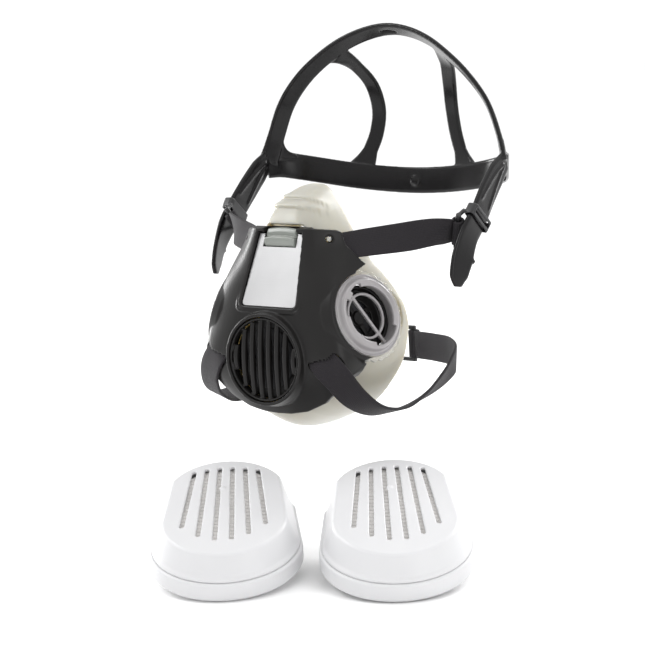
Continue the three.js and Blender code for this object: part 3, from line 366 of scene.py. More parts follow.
def spline(points, count, closed=False):
    """Points along a centripetal Catmull-Rom curve, evenly spread over its stations."""
    total = len(points)
    spans = total if closed else total - 1

    def at(k):
        if closed:
            return points[k % total]
        if k < 0:
            return points[0] * 2 - points[1]
        if k >= total:
            return points[-1] * 2 - points[-2]
        return points[k]

    path = []
    for step in range(count + (0 if closed else 1)):
        place = spans * step / count
        k = min(int(place), spans - 1)
        t = place - k
        p0, p1, p2, p3 = (at(k + j) for j in (-1, 0, 1, 2))
        d0, d1, d2 = (max(1e-4, (b - a).length ** 0.5) for a, b in ((p0, p1), (p1, p2), (p2, p3)))
        m1 = ((p1 - p0) / d0 - (p2 - p0) / (d0 + d1) + (p2 - p1) / d1) * d1
        m2 = ((p2 - p1) / d1 - (p3 - p1) / (d1 + d2) + (p3 - p2) / d2) * d1
        path.append(p1 + m1 * t + (p1 * -3 + p2 * 3 - m1 * 2 - m2) * t ** 2
                    + (p1 * 2 - p2 * 2 + m1 + m2) * t ** 3)
    return path


def band_stations(stations, steps):
    """Centres, width directions, normals and width scales along a flat band's path."""
    centres = spline([Vector(s[0]) for s in stations], steps)
    across = spline([Vector(s[1]) for s in stations], steps)
    scales = [s[2] if len(s) > 2 else 1 for s in stations]
    made = []
    for k, centre in enumerate(centres):
        along = (centres[min(k + 1, steps)] - centres[max(k - 1, 0)]).normalized()
        wide = (across[k] - along * across[k].dot(along)).normalized()
        place = k / steps * (len(scales) - 1)
        low = min(int(place), len(scales) - 2)
        scale = scales[low] + (scales[low + 1] - scales[low]) * (place - low)
        made.append((centre, wide, along.cross(wide).normalized(), scale))
    return made


def band_section(half_width, half_thick, rounding):
    """A flat band's cross-section, with round edges."""
    steps = 6
    section = []
    for side in (1, -1):
        corner = half_width - rounding
        section += [(side * (corner + rounding * cos(a)), side * half_thick * sin(a))
                    for a in (pi / steps * (k - steps / 2) for k in range(steps + 1))]
        across = 5
        for k in range(1, across):
            x = corner - 2 * corner * k / across
            section.append((side * x, side * half_thick))
    return section


def band(stations, width, thickness, steps):
    rings = []
    for centre, wide, normal, scale in band_stations(stations, steps):
        section = band_section(width / 2 * scale, thickness / 2, thickness / 2)
        rings.append([centre + wide * a + normal * b for a, b in section])
    return loft(rings)


# ---- mesh work

def bake(obj):
    """Applies an object's modifiers."""
    shown = obj.evaluated_get(bpy.context.evaluated_depsgraph_get())
    mesh = bpy.data.meshes.new_from_object(shown)
    obj.modifiers.clear()
    obj.data = mesh
    return obj


def boolean(obj, operation, *others):
    for other in others:
        change = obj.modifiers.new(operation, "BOOLEAN")
        change.operation = operation
        change.solver = "MANIFOLD"
        change.object = other
    bake(obj)
    for other in others:
        bpy.data.objects.remove(other)
    return obj


def join(obj, *others):
    return boolean(obj, "UNION", *others)


def cut(obj, *others):
    return boolean(obj, "DIFFERENCE", *others)


def common(obj, other):
    return boolean(obj, "INTERSECT", other)


def twin(obj, matrix=MIRROR):
    """A second body, carried by a matrix; a mirror keeps its faces outwards."""
    copy = bpy.data.objects.new(obj.name, obj.data.copy())
    scene.collection.objects.link(copy)
    copy.data.transform(matrix)
    if matrix.determinant() < 0:
        copy.data.flip_normals()
    return copy


def both(obj):
    return obj, twin(obj)


def moulded(obj, voxel, rounds=4, keep=0.5):
    """Softens every edge a little, as a moulding has them: remesh, smooth, thin out."""
    remesh = obj.modifiers.new("voxels", "REMESH")
    remesh.mode = "VOXEL"
    remesh.voxel_size = voxel
    smooth = obj.modifiers.new("smooth", "SMOOTH")
    smooth.factor = 0.5
    smooth.iterations = rounds
    obj.modifiers.new("thin", "DECIMATE").ratio = keep
    return bake(obj)


def finish(obj, name, slot, rides_on, *nodes):
    """Moves a piece into the row frame, and gives it its name, finish and body."""
    obj.data.transform(Matrix.Scale(MM, 4) @ Matrix.Translation(-SEAL_CENTRE))
    obj.name = name
    obj.data.name = name
    obj.data.materials.clear()
    obj.data.materials.append(MATERIALS[slot])
    for face in obj.data.polygons:
        face.use_smooth = True
    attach(obj, rides_on)
    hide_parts(*nodes)
    return obj


def by_angle(obj, degrees=35):
    """Keeps edges crisp where faces meet at more than an angle."""
    for face in obj.data.polygons:
        face.use_smooth = True
    obj.data.set_sharp_from_angle(angle=radians(degrees))
    return obj


# ---- facepiece

FACEPIECE_WALL = 2.6
SEAL_RIM = [
    (0, 2, 71.5), (7, 1.5, 70.3), (12.5, 2, 63), (20.7, 4, 46), (28.3, 6, 32.6), (39, 6, 21.9),
    (46, 5.5, 13), (49, 5.5, 2), (48.3, 5, -6.5), (45.6, 4, -17.6), (39.5, 1, -28.8),
    (31.5, 0, -37.7), (17.5, -2.5, -46), (0, -5, -51.5),
]
FRONT_RIM = [
    (0, -31, 46), (8, -31.5, 45.5), (11, -33, 41), (15, -36.5, 32), (19, -39.5, 22), (23, -41, 15),
    (26, -42, 9), (28, -42.5, 2), (29, -42.5, -5), (28, -42, -12), (26, -41, -19), (21, -40, -27),
    (11, -39, -33.5), (0, -38.5, -36),
]
RIM_POINTS = 128
SKIN_STEPS = 44
SKIN_AXIS_Z = 8
# Pleats over the nose: each runs back and down from the front, as (level, slope, height)
PLEATS = ((66.2, 0.5, 2.1), (60.6, 0.36, 2.6))
PLEAT_FRONT = -17
PLEAT_SWELL = 3.2
PLEAT_DROP = 0.6


def full_ring(half_points):
    right = [Vector(p) for p in half_points]
    left = [Vector((-p.x, p.y, p.z)) for p in reversed(right[1:-1])]
    return spline(right + left, RIM_POINTS, closed=True)


def pleat_rise(p):
    """How far the nose's folds stand out: each swells slowly from above and drops off sharply."""
    rise = 0.0
    for level, slope, height in PLEATS:
        below = level - p.z - slope * (p.y - PLEAT_FRONT)
        rise += height * exp(-(below / (PLEAT_SWELL if below < 0 else PLEAT_DROP)) ** 2)
    forward = min(1.0, max(0.0, (-p.y - 1.0) / 12))
    central = exp(-(max(0.0, abs(p.x) - 5) / 7) ** 2)
    return rise * forward * central


def skin_rings(offset, pleated=True):
    rim = full_ring(SEAL_RIM)
    front = full_ring(FRONT_RIM)
    rings = []
    for k in range(SKIN_STEPS + 1):
        t = k / SKIN_STEPS
        ring = []
        for p, f in zip(rim, front):
            round_end = min(1.0, max(0.0, (p.z - 40) / 22, (-30 - p.z) / 14))
            bulge = t ** 1.7 * (1 - round_end) + (1 - sqrt(1 - t * t)) * round_end
            q = Vector((p.x + (f.x - p.x) * bulge, p.y + (f.y - p.y) * t, p.z + (f.z - p.z) * bulge))
            inward = unit(-q.x, 0, SKIN_AXIS_Z - q.z)
            q += inward * offset + Vector((0, offset * t, 0))
            if pleated and q.z > 54:
                outward = unit(q.x * 2.2, q.y - 14, (q.z - 50) * 0.7)
                q += outward * pleat_rise(q)
            ring.append(q)
        rings.append(ring)
    return rings


def connector_space(radius, low, high):
    return disc(radius, low, high, CONNECTOR_PLACE)


def exhale_disc(radius, low, high):
    return disc(radius, low, high, EXHALE_PLACE)


def button_block(grow, height, low, high):
    return block(2 * (BUTTON_HALF_WIDTH + grow), height + 2 * grow, high - low,
                 (0, BUTTON_BOTTOM + height / 2, (low + high) / 2), PLATE_PLACE)


def strap_rooms():
    """The ways into the mask for the ends of the four straps."""
    rooms = []
    for stations, width in ((UPPER_STRAP, UPPER_STRAP_WIDTH), (NECK_STRAP, NECK_STRAP_WIDTH)):
        rooms += both(band(stations[:4], width + 3 * GAP, WEBBING + 3 * GAP, 20))
    return rooms


def make_facepiece():
    outer = skin_rings(0)
    inner = skin_rings(FACEPIECE_WALL, pleated=False)
    lip = [[], [], []]
    for p in inner[0]:
        inward = unit(-p.x, 0, SKIN_AXIS_Z - p.z)
        lip[0].append(p + Vector((0, -2.0, 0)))
        lip[1].append(p + inward * 7 + Vector((0, -0.3, 0)))
        lip[2].append(p + inward * 7 + Vector((0, 1.5, 0)))
    made = loft(list(reversed(inner[1:])) + lip + outer)
    port = connector_space(FLANGE_RADIUS, -FLANGE_HEIGHT - 9, -FLANGE_HEIGHT - 2)
    peg = rod(Vector((16, -19, 45)), Vector((25.0, -25.6, 47.4)), 1.4)
    made = join(made, exhale_disc(EXHALE_SEAT_RADIUS, -10.6, -8),
                button_block(POCKET_WALL + 3, BUTTON_HEIGHT - 2, -POCKET_DEPTH - POCKET_WALL - 3, -4),
                *both(port))
    frame_room = prism(plate_outline(FRAME_MARGIN + GAP, 4.5), -FRAME_DEPTH - GAP, 11, PLATE_PLACE)
    made = cut(made,
               button_block(POCKET_WALL + 2 * GAP, BUTTON_HEIGHT, -POCKET_DEPTH - POCKET_WALL - GAP, 8),
               frame_room,
               exhale_disc(BOSS_RADIUS + GAP, -8, 6),
               exhale_disc(EXHALE_SEAT_RADIUS - 1.8, -15, -10.6),
               exhale_disc(EXHALE_TUBE_RADIUS + GAP, -20, 4),
               *both(connector_space(GASKET_RADIUS + GAP, -FLANGE_HEIGHT - GASKET_THICKNESS - 2 * GAP, 20)),
               *both(connector_space(TUBE_RADIUS + GAP, -20, 4)),
               *strap_rooms())
    made = join(made, *both(peg))
    moulded(made, 0.55, rounds=3, keep=0.4)
    finish(made, "silicone_facepiece", "silicone", "mask", "facepiece")


# ---- front shell

SHELL_WALL = 2.2
SHELL_ROWS = [
    (54, [(0, -32.2), (9, -32.2), (16, -31.2), (20.5, -27.5), (25, -22.5), (29, -17.5), (31, -12)]),
    (46, [(0, -34.8), (11, -34.8), (18.5, -33.4), (22.5, -29), (27, -24), (30.5, -19), (32.5, -12)]),
    (36, [(0, -38.8), (13, -38.8), (20, -37.4), (26, -34), (31, -29.5), (36, -21.5), (39, -10)]),
    (26, [(0, -42.6), (14, -42.6), (22, -41.6), (28.5, -39.8), (34, -36.6), (38.5, -25), (42, -10)]),
    (12, [(0, -47.2), (16, -47.2), (24, -46.2), (32, -44.2), (38.5, -41), (42, -24), (45, -8)]),
    (0, [(0, -49), (18, -49), (26, -48.5), (33, -47), (41, -44), (45, -27), (48, -10)]),
    (-12, [(0, -49.8), (18, -49.8), (27, -49.3), (36, -48.3), (43.5, -45), (46.5, -33), (48.5, -16)]),
    (-24, [(0, -48.5), (14, -48.2), (24, -47), (33, -45), (40, -41), (42, -31), (43, -18)]),
    (-36, [(0, -44), (12, -43.6), (20, -42), (27, -39), (32, -35), (34, -27), (35, -18)]),
    (-45, [(0, -38), (10, -37.5), (17, -36), (22, -33), (26, -29), (28, -22), (29, -15)]),
]
SHELL_FRONT_OUTLINE = [
    (0, 53.2), (17, 52.8), (25, 51.4), (29.5, 49.8), (32, 47.6), (60, 47.2), (60, -8), (47, -10), (44, -16),
    (36, -25), (28.5, -31.5), (18, -36.4), (8, -38.3), (0, -38.7),
]
SHELL_REAR_EDGE = [
    (-70, 60), (-19, 60), (-20, 44), (-16, 36), (-14, 34), (-22, 31), (-16, 24), (-14, 4),
    (-20, -7), (-25, -9), (-29, -14), (-32, -24), (-30, -50), (-70, -50),
]

PLATE_TOP = {"y": -30.4, "z": 50.0, "half": 13.3}
PLATE_BOTTOM = {"y": -45.2, "z": 15.8, "half": 16.2}
PLATE_THICKNESS = 1.0
FRAME_MARGIN = 3.8
FRAME_DEPTH = 2.6
BUTTON_HALF_WIDTH = 9.4
BUTTON_HEIGHT = 9.4
BUTTON_BOTTOM_Z = 44.2
POCKET_DEPTH = 7.6
POCKET_WALL = 1.3
GAP = 0.35

PLATE_MIDDLE = Vector((0, PLATE_TOP["y"] + PLATE_BOTTOM["y"], PLATE_TOP["z"] + PLATE_BOTTOM["z"])) / 2
PLATE_RISE = Vector((0, PLATE_TOP["y"] - PLATE_BOTTOM["y"], PLATE_TOP["z"] - PLATE_BOTTOM["z"]))
PLATE_HALF_HEIGHT = PLATE_RISE.length / 2
PLATE_UP = PLATE_RISE.normalized()
PLATE_NORMAL = X.cross(PLATE_UP)
PLATE_PLACE = turn_to(X, PLATE_UP, PLATE_NORMAL, PLATE_MIDDLE)
BUTTON_BOTTOM = (BUTTON_BOTTOM_Z - PLATE_MIDDLE.z) / PLATE_UP.z
BUTTON_PLACE = PLATE_PLACE @ shift(0, BUTTON_BOTTOM + BUTTON_HEIGHT / 2, 0)

EXHALE_TILT = 0.05
EXHALE_CENTRE = Vector((0, -52.0, -9.6))
EXHALE_PLACE = about(Vector((0, -cos(EXHALE_TILT), sin(EXHALE_TILT))), EXHALE_CENTRE)
GRILLE_RADIUS = 20.8
BOSS_RADIUS = 22.8
EXHALE_SEAT_RADIUS = 20.2
EXHALE_TUBE_RADIUS = 16.4

CONNECTOR_CENTRE = Vector((45.4, -21.6, 10.9))
CONNECTOR_PLACE = about(Vector((0.924, -0.212, 0.32)), CONNECTOR_CENTRE)
FLANGE_RADIUS = 20.6
FLANGE_HEIGHT = 4.2
OPENING_RADIUS = 14.0
NOTCH_RADIUS = 16.0
NOTCHES = ((98, 127), (144, 176), (262, 329))
TUBE_RADIUS = 18.4
GASKET_RADIUS = 23.3
GASKET_THICKNESS = 1.2


def shell_grid():
    rows = []
    for z, half in SHELL_ROWS:
        right = [Vector((x, y, z)) for x, y in half]
        left = [Vector((-p.x, p.y, z)) for p in reversed(right[1:])]
        rows.append(soft_path(left + right, 10))
    columns = [soft_path([row[j] for row in rows], 8) for j in range(len(rows[0]))]
    return [[column[i] for column in columns] for i in range(len(columns[0]))]


def grid_offset(grid, distance):
    rows, cols = len(grid), len(grid[0])
    moved = []
    for i in range(rows):
        line = []
        for j in range(cols):
            down = grid[min(i + 1, rows - 1)][j] - grid[max(i - 1, 0)][j]
            along = grid[i][min(j + 1, cols - 1)] - grid[i][max(j - 1, 0)]
            normal = down.cross(along).normalized()
            line.append(grid[i][j] + normal * distance)
        moved.append(line)
    return moved


def sheet_body(outer, inner):
    """A sheet with thickness: two matching grids, joined round their edges."""
    rows, cols = len(outer), len(outer[0])
    points = [p for row in outer for p in row] + [p for row in inner for p in row]
    half = rows * cols
    faces = []
    for i in range(rows - 1):
        for j in range(cols - 1):
            a = i * cols + j
            face = (a, a + 1, a + cols + 1, a + cols)
            faces += [face, tuple(half + k for k in reversed(face))]
    rim = list(range(cols)) + [i * cols + cols - 1 for i in range(1, rows)]
    rim += [(rows - 1) * cols + j for j in range(cols - 2, -1, -1)]
    rim += [i * cols for i in range(rows - 2, 0, -1)]
    for k, a in enumerate(rim):
        b = rim[(k + 1) % len(rim)]
        faces.append((b, a, half + a, half + b))
    return body(points, faces)


def plate_outline(grow, radius):
    top = PLATE_HALF_HEIGHT + grow
    bottom = -PLATE_HALF_HEIGHT - grow
    wide_top = PLATE_TOP["half"] + grow
    wide_bottom = PLATE_BOTTOM["half"] + grow
    corner = [Vector(p) for p in ((wide_bottom, bottom + radius), (wide_bottom, bottom),
                                  (wide_bottom - radius, bottom))]
    right = [Vector((wide_top, top))] + quadratic(*corner)
    left = [Vector((-p.x, p.y)) for p in reversed(right)]
    return [tuple(p) for p in right + left]


def shell_trim():
    right = SHELL_FRONT_OUTLINE
    left = [(-x, z) for x, z in reversed(right[1:-1])]
    facing = turn_to(X, Z, -Y, Y * 20)
    sideways = turn_to(Y, Z, X, X * -70)
    return common(prism(right + left, 0, 100, facing), prism(SHELL_REAR_EDGE, 0, 140, sideways))


def frame_ridge(grow, width, height):
    """A raised bead that follows the plate's outline."""
    ridge = prism(plate_outline(grow, 4.2), -FRAME_DEPTH, height, PLATE_PLACE)
    return cut(ridge, prism(plate_outline(grow - width, 3.0), -9, 9, PLATE_PLACE))


def make_shell():
    grid = shell_grid()
    made = sheet_body(grid, grid_offset(grid, -SHELL_WALL))
    collar = turned([(0, -12), (26.4, -12), (25.8, -7.4), (23.6, -3.0), (22.8, -2.5), (0, -2.5)],
                    CONNECTOR_PLACE)
    behind = sheet_body(grid_offset(grid, -SHELL_WALL), grid_offset(grid, -SHELL_WALL - 12))
    collar = cut(collar, behind)
    made = join(made, *both(collar),
                button_block(POCKET_WALL + GAP, BUTTON_HEIGHT, -POCKET_DEPTH - POCKET_WALL, -1))
    made = common(made, shell_trim())
    made = join(made, prism(plate_outline(FRAME_MARGIN, 5.0), -FRAME_DEPTH, -0.2, PLATE_PLACE),
                frame_ridge(FRAME_MARGIN - 0.5, 1.1, 0.7), frame_ridge(1.9, 1.3, 1.0),
                turned([(0, -7.5), (BOSS_RADIUS + 1.6, -7.5), (BOSS_RADIUS + 0.3, -2.2),
                        (BOSS_RADIUS, 0.4), (0, 0.4)], EXHALE_PLACE))
    ear_hole = rod(Vector((18, -20.4, 45.5)), Vector((30, -29.4, 48.8)), 2.0)
    made = cut(made, prism(plate_outline(GAP, 2.4), -PLATE_THICKNESS - 0.3, 5, PLATE_PLACE),
               exhale_disc(GRILLE_RADIUS + GAP, -20, 4),
               button_block(GAP, BUTTON_HEIGHT, -POCKET_DEPTH, 8),
               *both(connector_space(FLANGE_RADIUS + 0.5, -FLANGE_HEIGHT - GAP, 20)),
               *both(connector_space(GASKET_RADIUS + GAP, -20, -FLANGE_HEIGHT)),
               *strap_rooms(),
               *both(ear_hole))
    moulded(made, 0.42)
    finish(made, "carrier_shell", "shell", "mask", "front_shell")


# ---- plate, button and spring

def rounded_slab(outline, low, high, round_top):
    """A slab whose top edge is rounded over."""
    steps = 5
    levels = [(low, 0.0), (high - round_top, 0.0)]
    for k in range(1, steps + 1):
        a = pi / 2 * k / steps
        levels.append((high - round_top * (1 - sin(a)), round_top * (1 - cos(a))))
    levels.append((high, round_top + 0.4))
    centre = sum((Vector(p) for p in outline), Vector((0, 0))) / len(outline)
    rings = []
    for z, inset in levels:
        ring = []
        for x, y in outline:
            pull = (centre - Vector((x, y))).normalized() * inset
            ring.append((x + pull.x, y + pull.y, z))
        rings.append(ring)
    return loft(rings, PLATE_PLACE)


def make_plate():
    made = rounded_slab(plate_outline(0, 2.2), -PLATE_THICKNESS, 0.15, 0.3)
    made = cut(made, button_block(2 * GAP, BUTTON_HEIGHT + 4, -8, 8))
    finish(by_angle(made, 25), "silver_plate", "plate", "mask", "front_plate")


def make_button():
    """A push button: a flat rest above, and a thumb roll below a curved crease."""
    wide = BUTTON_HALF_WIDTH - 0.1
    side = 0.9
    profile = [(0.1, -4.2), (0.1, -0.6), (0.4, 0.4), (1.3, 1.5), (2.5, 2.3), (3.7, 2.3), (4.4, 1.4),
               (4.7, 0.2), (5.2, 0.5), (6.5, 0.9), (8.2, 0.7), (9.0, 0.2), (9.3, -0.6), (9.3, -4.2)]
    rings = []
    steps = 28
    for k in range(steps + 1):
        share = -1 + 2 * k / steps
        edge = max(0.0, abs(share) * wide - (wide - side)) / side
        drop = 1 - sqrt(max(0.0, 1 - edge * edge))
        bow = 0.9 * (1 - share * share)
        ring = []
        for y, z in profile:
            lifted = y + bow * min(1.0, max(0.0, y / 4.5))
            ring.append((share * wide, BUTTON_BOTTOM + lifted - 0.45, z - drop * 1.0 if z > -4 else z))
        rings.append(ring)
    made = loft(rings, PLATE_PLACE)
    made = cut(made, disc(3.2, -8, -1.4, BUTTON_PLACE))
    moulded(made, 0.22, rounds=3)
    finish(made, "push_button", "button", "button", "release_button")


def make_spring():
    turns, radius, wire = 4, 2.2, 0.3
    length = POCKET_DEPTH - 0.6 - 2.2 - 2 * GAP - 0.6
    steps = turns * 28
    rings = []
    for k in range(steps + 1):
        angle = 2 * pi * turns * k / steps
        out = Vector((cos(angle), sin(angle), 0))
        middle = out * radius + Z * (length * k / steps)
        rings.append([middle + out * (wire * cos(a)) + Z * (wire * sin(a))
                      for a in angles(BEAD_SIDES)])
    place = BUTTON_PLACE @ shift(0, 0, -POCKET_DEPTH + GAP + wire)
    spring = finish(loft(rings, place), "coil_spring", "spring", "mask", "button_spring")
    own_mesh(spring)


# ---- exhalation valve

RIB_COUNT = 8
RIB_PITCH = 5.0
RIB_WIDTH = 3.0


def make_exhale_valve():
    seat = turned([(13.4, -6), (EXHALE_SEAT_RADIUS, -6), (EXHALE_SEAT_RADIUS, -7.6),
                   (EXHALE_TUBE_RADIUS, -7.6), (EXHALE_TUBE_RADIUS, -11.2), (18.2, -11.2),
                   (18.2, -12.4), (14.4, -12.4), (14.4, -7.6), (13.4, -7.6)], EXHALE_PLACE)
    spokes = [block(28, 1.8, 2.6, (0, 0, -7.6), EXHALE_PLACE @ spin(pi / 4 + turn))
              for turn in (0, pi / 2)]
    seat = join(seat, disc(3.8, -9.6, -6, EXHALE_PLACE), *spokes)
    seat = cut(seat, disc(2.0, -20, 0, EXHALE_PLACE))
    moulded(seat, 0.35, rounds=2)
    finish(seat, "exhale_valve_seat", "shell", "mask", "exhale_seat")
    flap = turned([(0, -4.6), (8, -4.7), (13.5, -4.95), (15.0, -5.2), (15.2, -5.4), (15.0, -5.6), (2.2, -5.6),
                   (1.6, -6), (1.6, -11.6), (2.6, -12.2), (1.4, -14.4), (0, -14.4)], EXHALE_PLACE)
    finish(by_angle(flap), "mushroom_flap", "valve", "exhale_flap", "exhale_valve")


def make_grille():
    rim = turned([(19.6, -2.8), (19.6, -1.1), (19.8, -0.5), (20.3, -0.3), (20.7, -0.6), (GRILLE_RADIUS, -1.4),
                  (GRILLE_RADIUS, -5), (20.0, -5), (20.0, -2.8)], EXHALE_PLACE)
    ribs = []
    for k in range(RIB_COUNT):
        x = (k - (RIB_COUNT - 1) / 2) * RIB_PITCH
        reach = sqrt(20.0 ** 2 - (abs(x) + RIB_WIDTH / 2) ** 2)
        rings = []
        steps = 24
        for s in range(steps + 1):
            along = -1 + 2 * s / steps
            crest = -1.5 + 1.4 * (1 - along ** 2)
            section = ((-1, -2.8), (1, -2.8), (0.8, crest - 0.5), (0.3, crest), (-0.3, crest),
                       (-0.8, crest - 0.5))
            rings.append([(x + RIB_WIDTH / 2 * share, reach * along, z) for share, z in section])
        ribs.append(loft(rings, EXHALE_PLACE))
    made = join(rim, *ribs)
    moulded(made, 0.3, rounds=2)
    finish(made, "round_grille", "shell", "exhale_grille", "exhale_cover")


# ---- connectors

CROSSBAR_TURN = -1.09


def sector(inner, outer, start, end):
    start, end = radians(start), radians(end)
    return arc(0, 0, outer, start, end, 12) + arc(0, 0, inner, end, start, 12)


def connector_body():
    made = turned([(OPENING_RADIUS, -0.2), (OPENING_RADIUS + 0.3, 0), (16.8, 0), (17.5, -0.3),
                   (18.0, -1.2), (18.4, -2.4), (18.9, -3.0), (19.7, -3.1), (20.0, -2.8), (20.4, -2.8),
                   (FLANGE_RADIUS, -3.2), (FLANGE_RADIUS, -FLANGE_HEIGHT), (TUBE_RADIUS, -FLANGE_HEIGHT),
                   (TUBE_RADIUS, -8.4), (16.4, -8.4), (16.4, -1.8), (OPENING_RADIUS, -1.8)])
    gaps = [prism(sector(OPENING_RADIUS - 3, NOTCH_RADIUS, *notch), -3, 1) for notch in NOTCHES]
    made = cut(made, *gaps)
    ring = turned([(10.4, -4.8), (10.7, -4.5), (11.5, -4.5), (11.8, -4.8), (11.8, -6.2), (10.4, -6.2)])
    bar = block(2 * 16.8, 1.6, 1.6, (0, 0, -5.4), spin(CROSSBAR_TURN))
    made = join(made, ring, bar)
    return moulded(made, 0.28, rounds=3)


def inhale_seat_body():
    made = turned([(15.9, -6.8), (15.9, -12.6), (3, -12.6), (3, -11.2), (14.4, -11.2), (14.4, -6.8)])
    quarter = pi / 2
    windows = []
    for k in range(4):
        outline = arc(0, 0, 9.4, 0.14, quarter - 0.14, 12) + arc(0, 0, 4.2, quarter - 0.3, 0.3, 8)
        windows.append(prism(outline, -15, -9, spin(k * quarter + 0.4)))
    made = cut(made, *windows)
    made = join(made, disc(3.4, -12.6, -9.6))
    return moulded(made, 0.35, rounds=2)


def gasket_body():
    lobes, steps, wave = 30, 240, 0.45
    outer = []
    for a in angles(steps):
        radius = GASKET_RADIUS - wave + wave * cos(a * lobes)
        outer.append((radius * cos(a), radius * sin(a)))
    top = -FLANGE_HEIGHT - GAP
    made = cut(prism(outer, top - GASKET_THICKNESS, top), disc(TUBE_RADIUS + GAP, -9, 0))
    bead = turned([(21.2 + 0.35 * cos(a), top - 0.05 + 0.3 * sin(a))
                   for a in angles(BEAD_SIDES)], segments=160)
    made = join(made, bead)
    return moulded(made, 0.3, rounds=2, keep=0.6)


def make_connectors():
    flap = turned([(0, -13.0), (9.6, -13.05), (10.5, -13.2), (10.6, -13.4), (10.5, -13.7), (9.0, -13.85),
                   (2.2, -14.2), (0, -14.2)])
    shapes = {
        "connector": (connector_body(), "bayonet_ring", "connector", "mask"),
        "connector_gasket": (gasket_body(), "clear_washer", "clear", "mask"),
        "inhale_seat": (inhale_seat_body(), "inhale_seat_cup", "shell", "mask"),
        "inhale_valve": (by_angle(flap), "inhale_disc", "valve", None),
    }
    for node, (shape, name, slot, rides_on) in shapes.items():
        for side, mirror in SIDES.items():
            carrier = rides_on or f"inhale_flap_{side}"
            finish(twin(shape, mirror @ CONNECTOR_PLACE), f"{name}_{side}", slot, carrier,
                   f"{node}_{side}")
        bpy.data.objects.remove(shape)


# ---- straps

UPPER_STRAP_WIDTH = 14.5
NECK_STRAP_WIDTH = 15
WEBBING = 1.5
UPPER_STRAP = [
    ((21.6, -24.2, 42.4), (0.2, -0.56, -0.8)),
    ((26.8, -18.2, 43.0), (0.2, -0.56, -0.8)),
    ((37.5, -9.4, 44.2), (0.15, -0.4, -0.86)),
    ((52, 0, 45.8), (0.05, -0.2, -0.92)),
    ((62, 10.8, 47.0), (-0.2, 0.1, -0.9)),
    ((67.3, 20.0, 46.3), (-0.35, 0.4, -0.85)),
]
BAR_CENTRE = Vector((69.0, 22.2, 46.3))
BAR_ALONG = unit(-0.35, 0.4, -0.85)
BAR_RADIUS = 1.4
NECK_STRAP = [
    ((28.5, -42.6, -4.2), (0.72, 0.33, 0.61)),
    ((32.2, -46.6, -8.6), (0.72, 0.33, 0.61)),
    ((39.5, -44.6, -18), (0.77, 0.2, 0.6)),
    ((44.5, -38, -28.5), (0.86, 0.05, 0.5)),
    ((48, -26, -36.5), (0.85, -0.3, 0.4)),
    ((50.5, -8, -39), (0.75, -0.6, 0.25)),
    ((53.5, 10, -35.5), (0.6, -0.72, 0.35)),
    ((56.5, 26, -28.5), (0.45, -0.45, 0.77)),
    ((56, 37, -22.5), (0.15, -0.1, 0.98)),
    ((48, 46, -20.5), (-0.1, 0.1, 1)),
    ((33, 55, -21), (0, 0, 1)),
    ((13.8, 63.8, -22.2), (0, 0, 1)),
]
CLIP_BAR = Vector((13.2, 66, -22.2))
CLIP_RADIUS = 1.3
LOOP_STEPS = 22


def strap_stations(stations, steps, bar, along, radius):
    """A strap's frames from the shell to its bar, then round the bar and back on itself."""
    frames = [(c, w, n) for c, w, n, _ in band_stations(stations, steps)]
    turn_radius = radius + GAP + WEBBING / 2

    def away(place):
        return (place - bar) - along * (place - bar).dot(along)

    reach = away(frames[-1][0])
    side = along.cross(reach.normalized())
    hand = 1 if side.dot(frames[-1][2]) > 0 else -1
    start = acos(min(1.0, turn_radius / max(reach.length, turn_radius)))
    kept = [f for f in frames if away(f[0]).length > turn_radius + 1.6]
    loop = []
    sense = 1 if kept[-1][1].dot(along) > 0 else -1
    for k in range(LOOP_STEPS + 1):
        angle = start * 0.8 + (2 * pi - 1.7 * start) * k / LOOP_STEPS
        out = (reach.normalized() * cos(angle) + side * hand * sin(angle)).normalized()
        loop.append((bar + out * turn_radius, along * sense, out * hand))
    return kept + loop


def strap_piece(frames, width):
    """A woven band along its frames, with its own cloth coordinates in millimetres."""
    section = band_section(width / 2, WEBBING / 2, WEBBING * 0.45)
    rings = [[c + w * a + n * b for a, b in section] for c, w, n in frames]
    made = loft(rings)
    lengths = [0.0]
    for (a, _, _), (b, _, _) in zip(frames, frames[1:]):
        lengths.append(lengths[-1] + (b - a).length)
    place = {}
    for k, (c, w, n) in enumerate(frames):
        for (a, b), p in zip(section, rings[k]):
            place[tuple(round(x, 2) for x in p)] = (a, lengths[k])
    layer = made.data.uv_layers.new(name="cloth")
    for loop in made.data.loops:
        key = tuple(round(x, 2) for x in made.data.vertices[loop.vertex_index].co)
        layer.data[loop.index].uv = place.get(key, (0.0, 0.0))
    return made, lengths[-1]


def make_straps():
    kinds = (
        ("upper", UPPER_STRAP, 40, BAR_CENTRE, BAR_ALONG, BAR_RADIUS, UPPER_STRAP_WIDTH),
        ("neck", NECK_STRAP, 110, CLIP_BAR, Z, CLIP_RADIUS, NECK_STRAP_WIDTH),
    )
    for name, stations, steps, bar, along, radius, width in kinds:
        shape, length = strap_piece(strap_stations(stations, steps, bar, along, radius), width)
        for side, mirror in SIDES.items():
            piece = by_angle(twin(shape, mirror), 50)
            finish(piece, f"{name}_webbing_{side}", "webbing", "mask", f"{name}_strap_{side}")
        bpy.data.objects.remove(shape)


# ---- buckles

ARM_AT_BUCKLE = Vector((76.3, 30.4, 52.1))
ARM_DOWN = unit(-0.1, -0.66, -0.745)
ARM_OUT = unit(1, -0.08, -0.06)


def rounded_box(width, depth, height, rounding, matrix=None):
    """A box whose outline in local x and y has round corners."""
    outline = []
    for k, (sx, sy) in enumerate(((1, 1), (-1, 1), (-1, -1), (1, -1))):
        outline += arc(sx * (width / 2 - rounding), sy * (depth / 2 - rounding), rounding,
                       k * pi / 2, (k + 1) * pi / 2, 5)
    return prism(outline, -height / 2, height / 2, matrix)


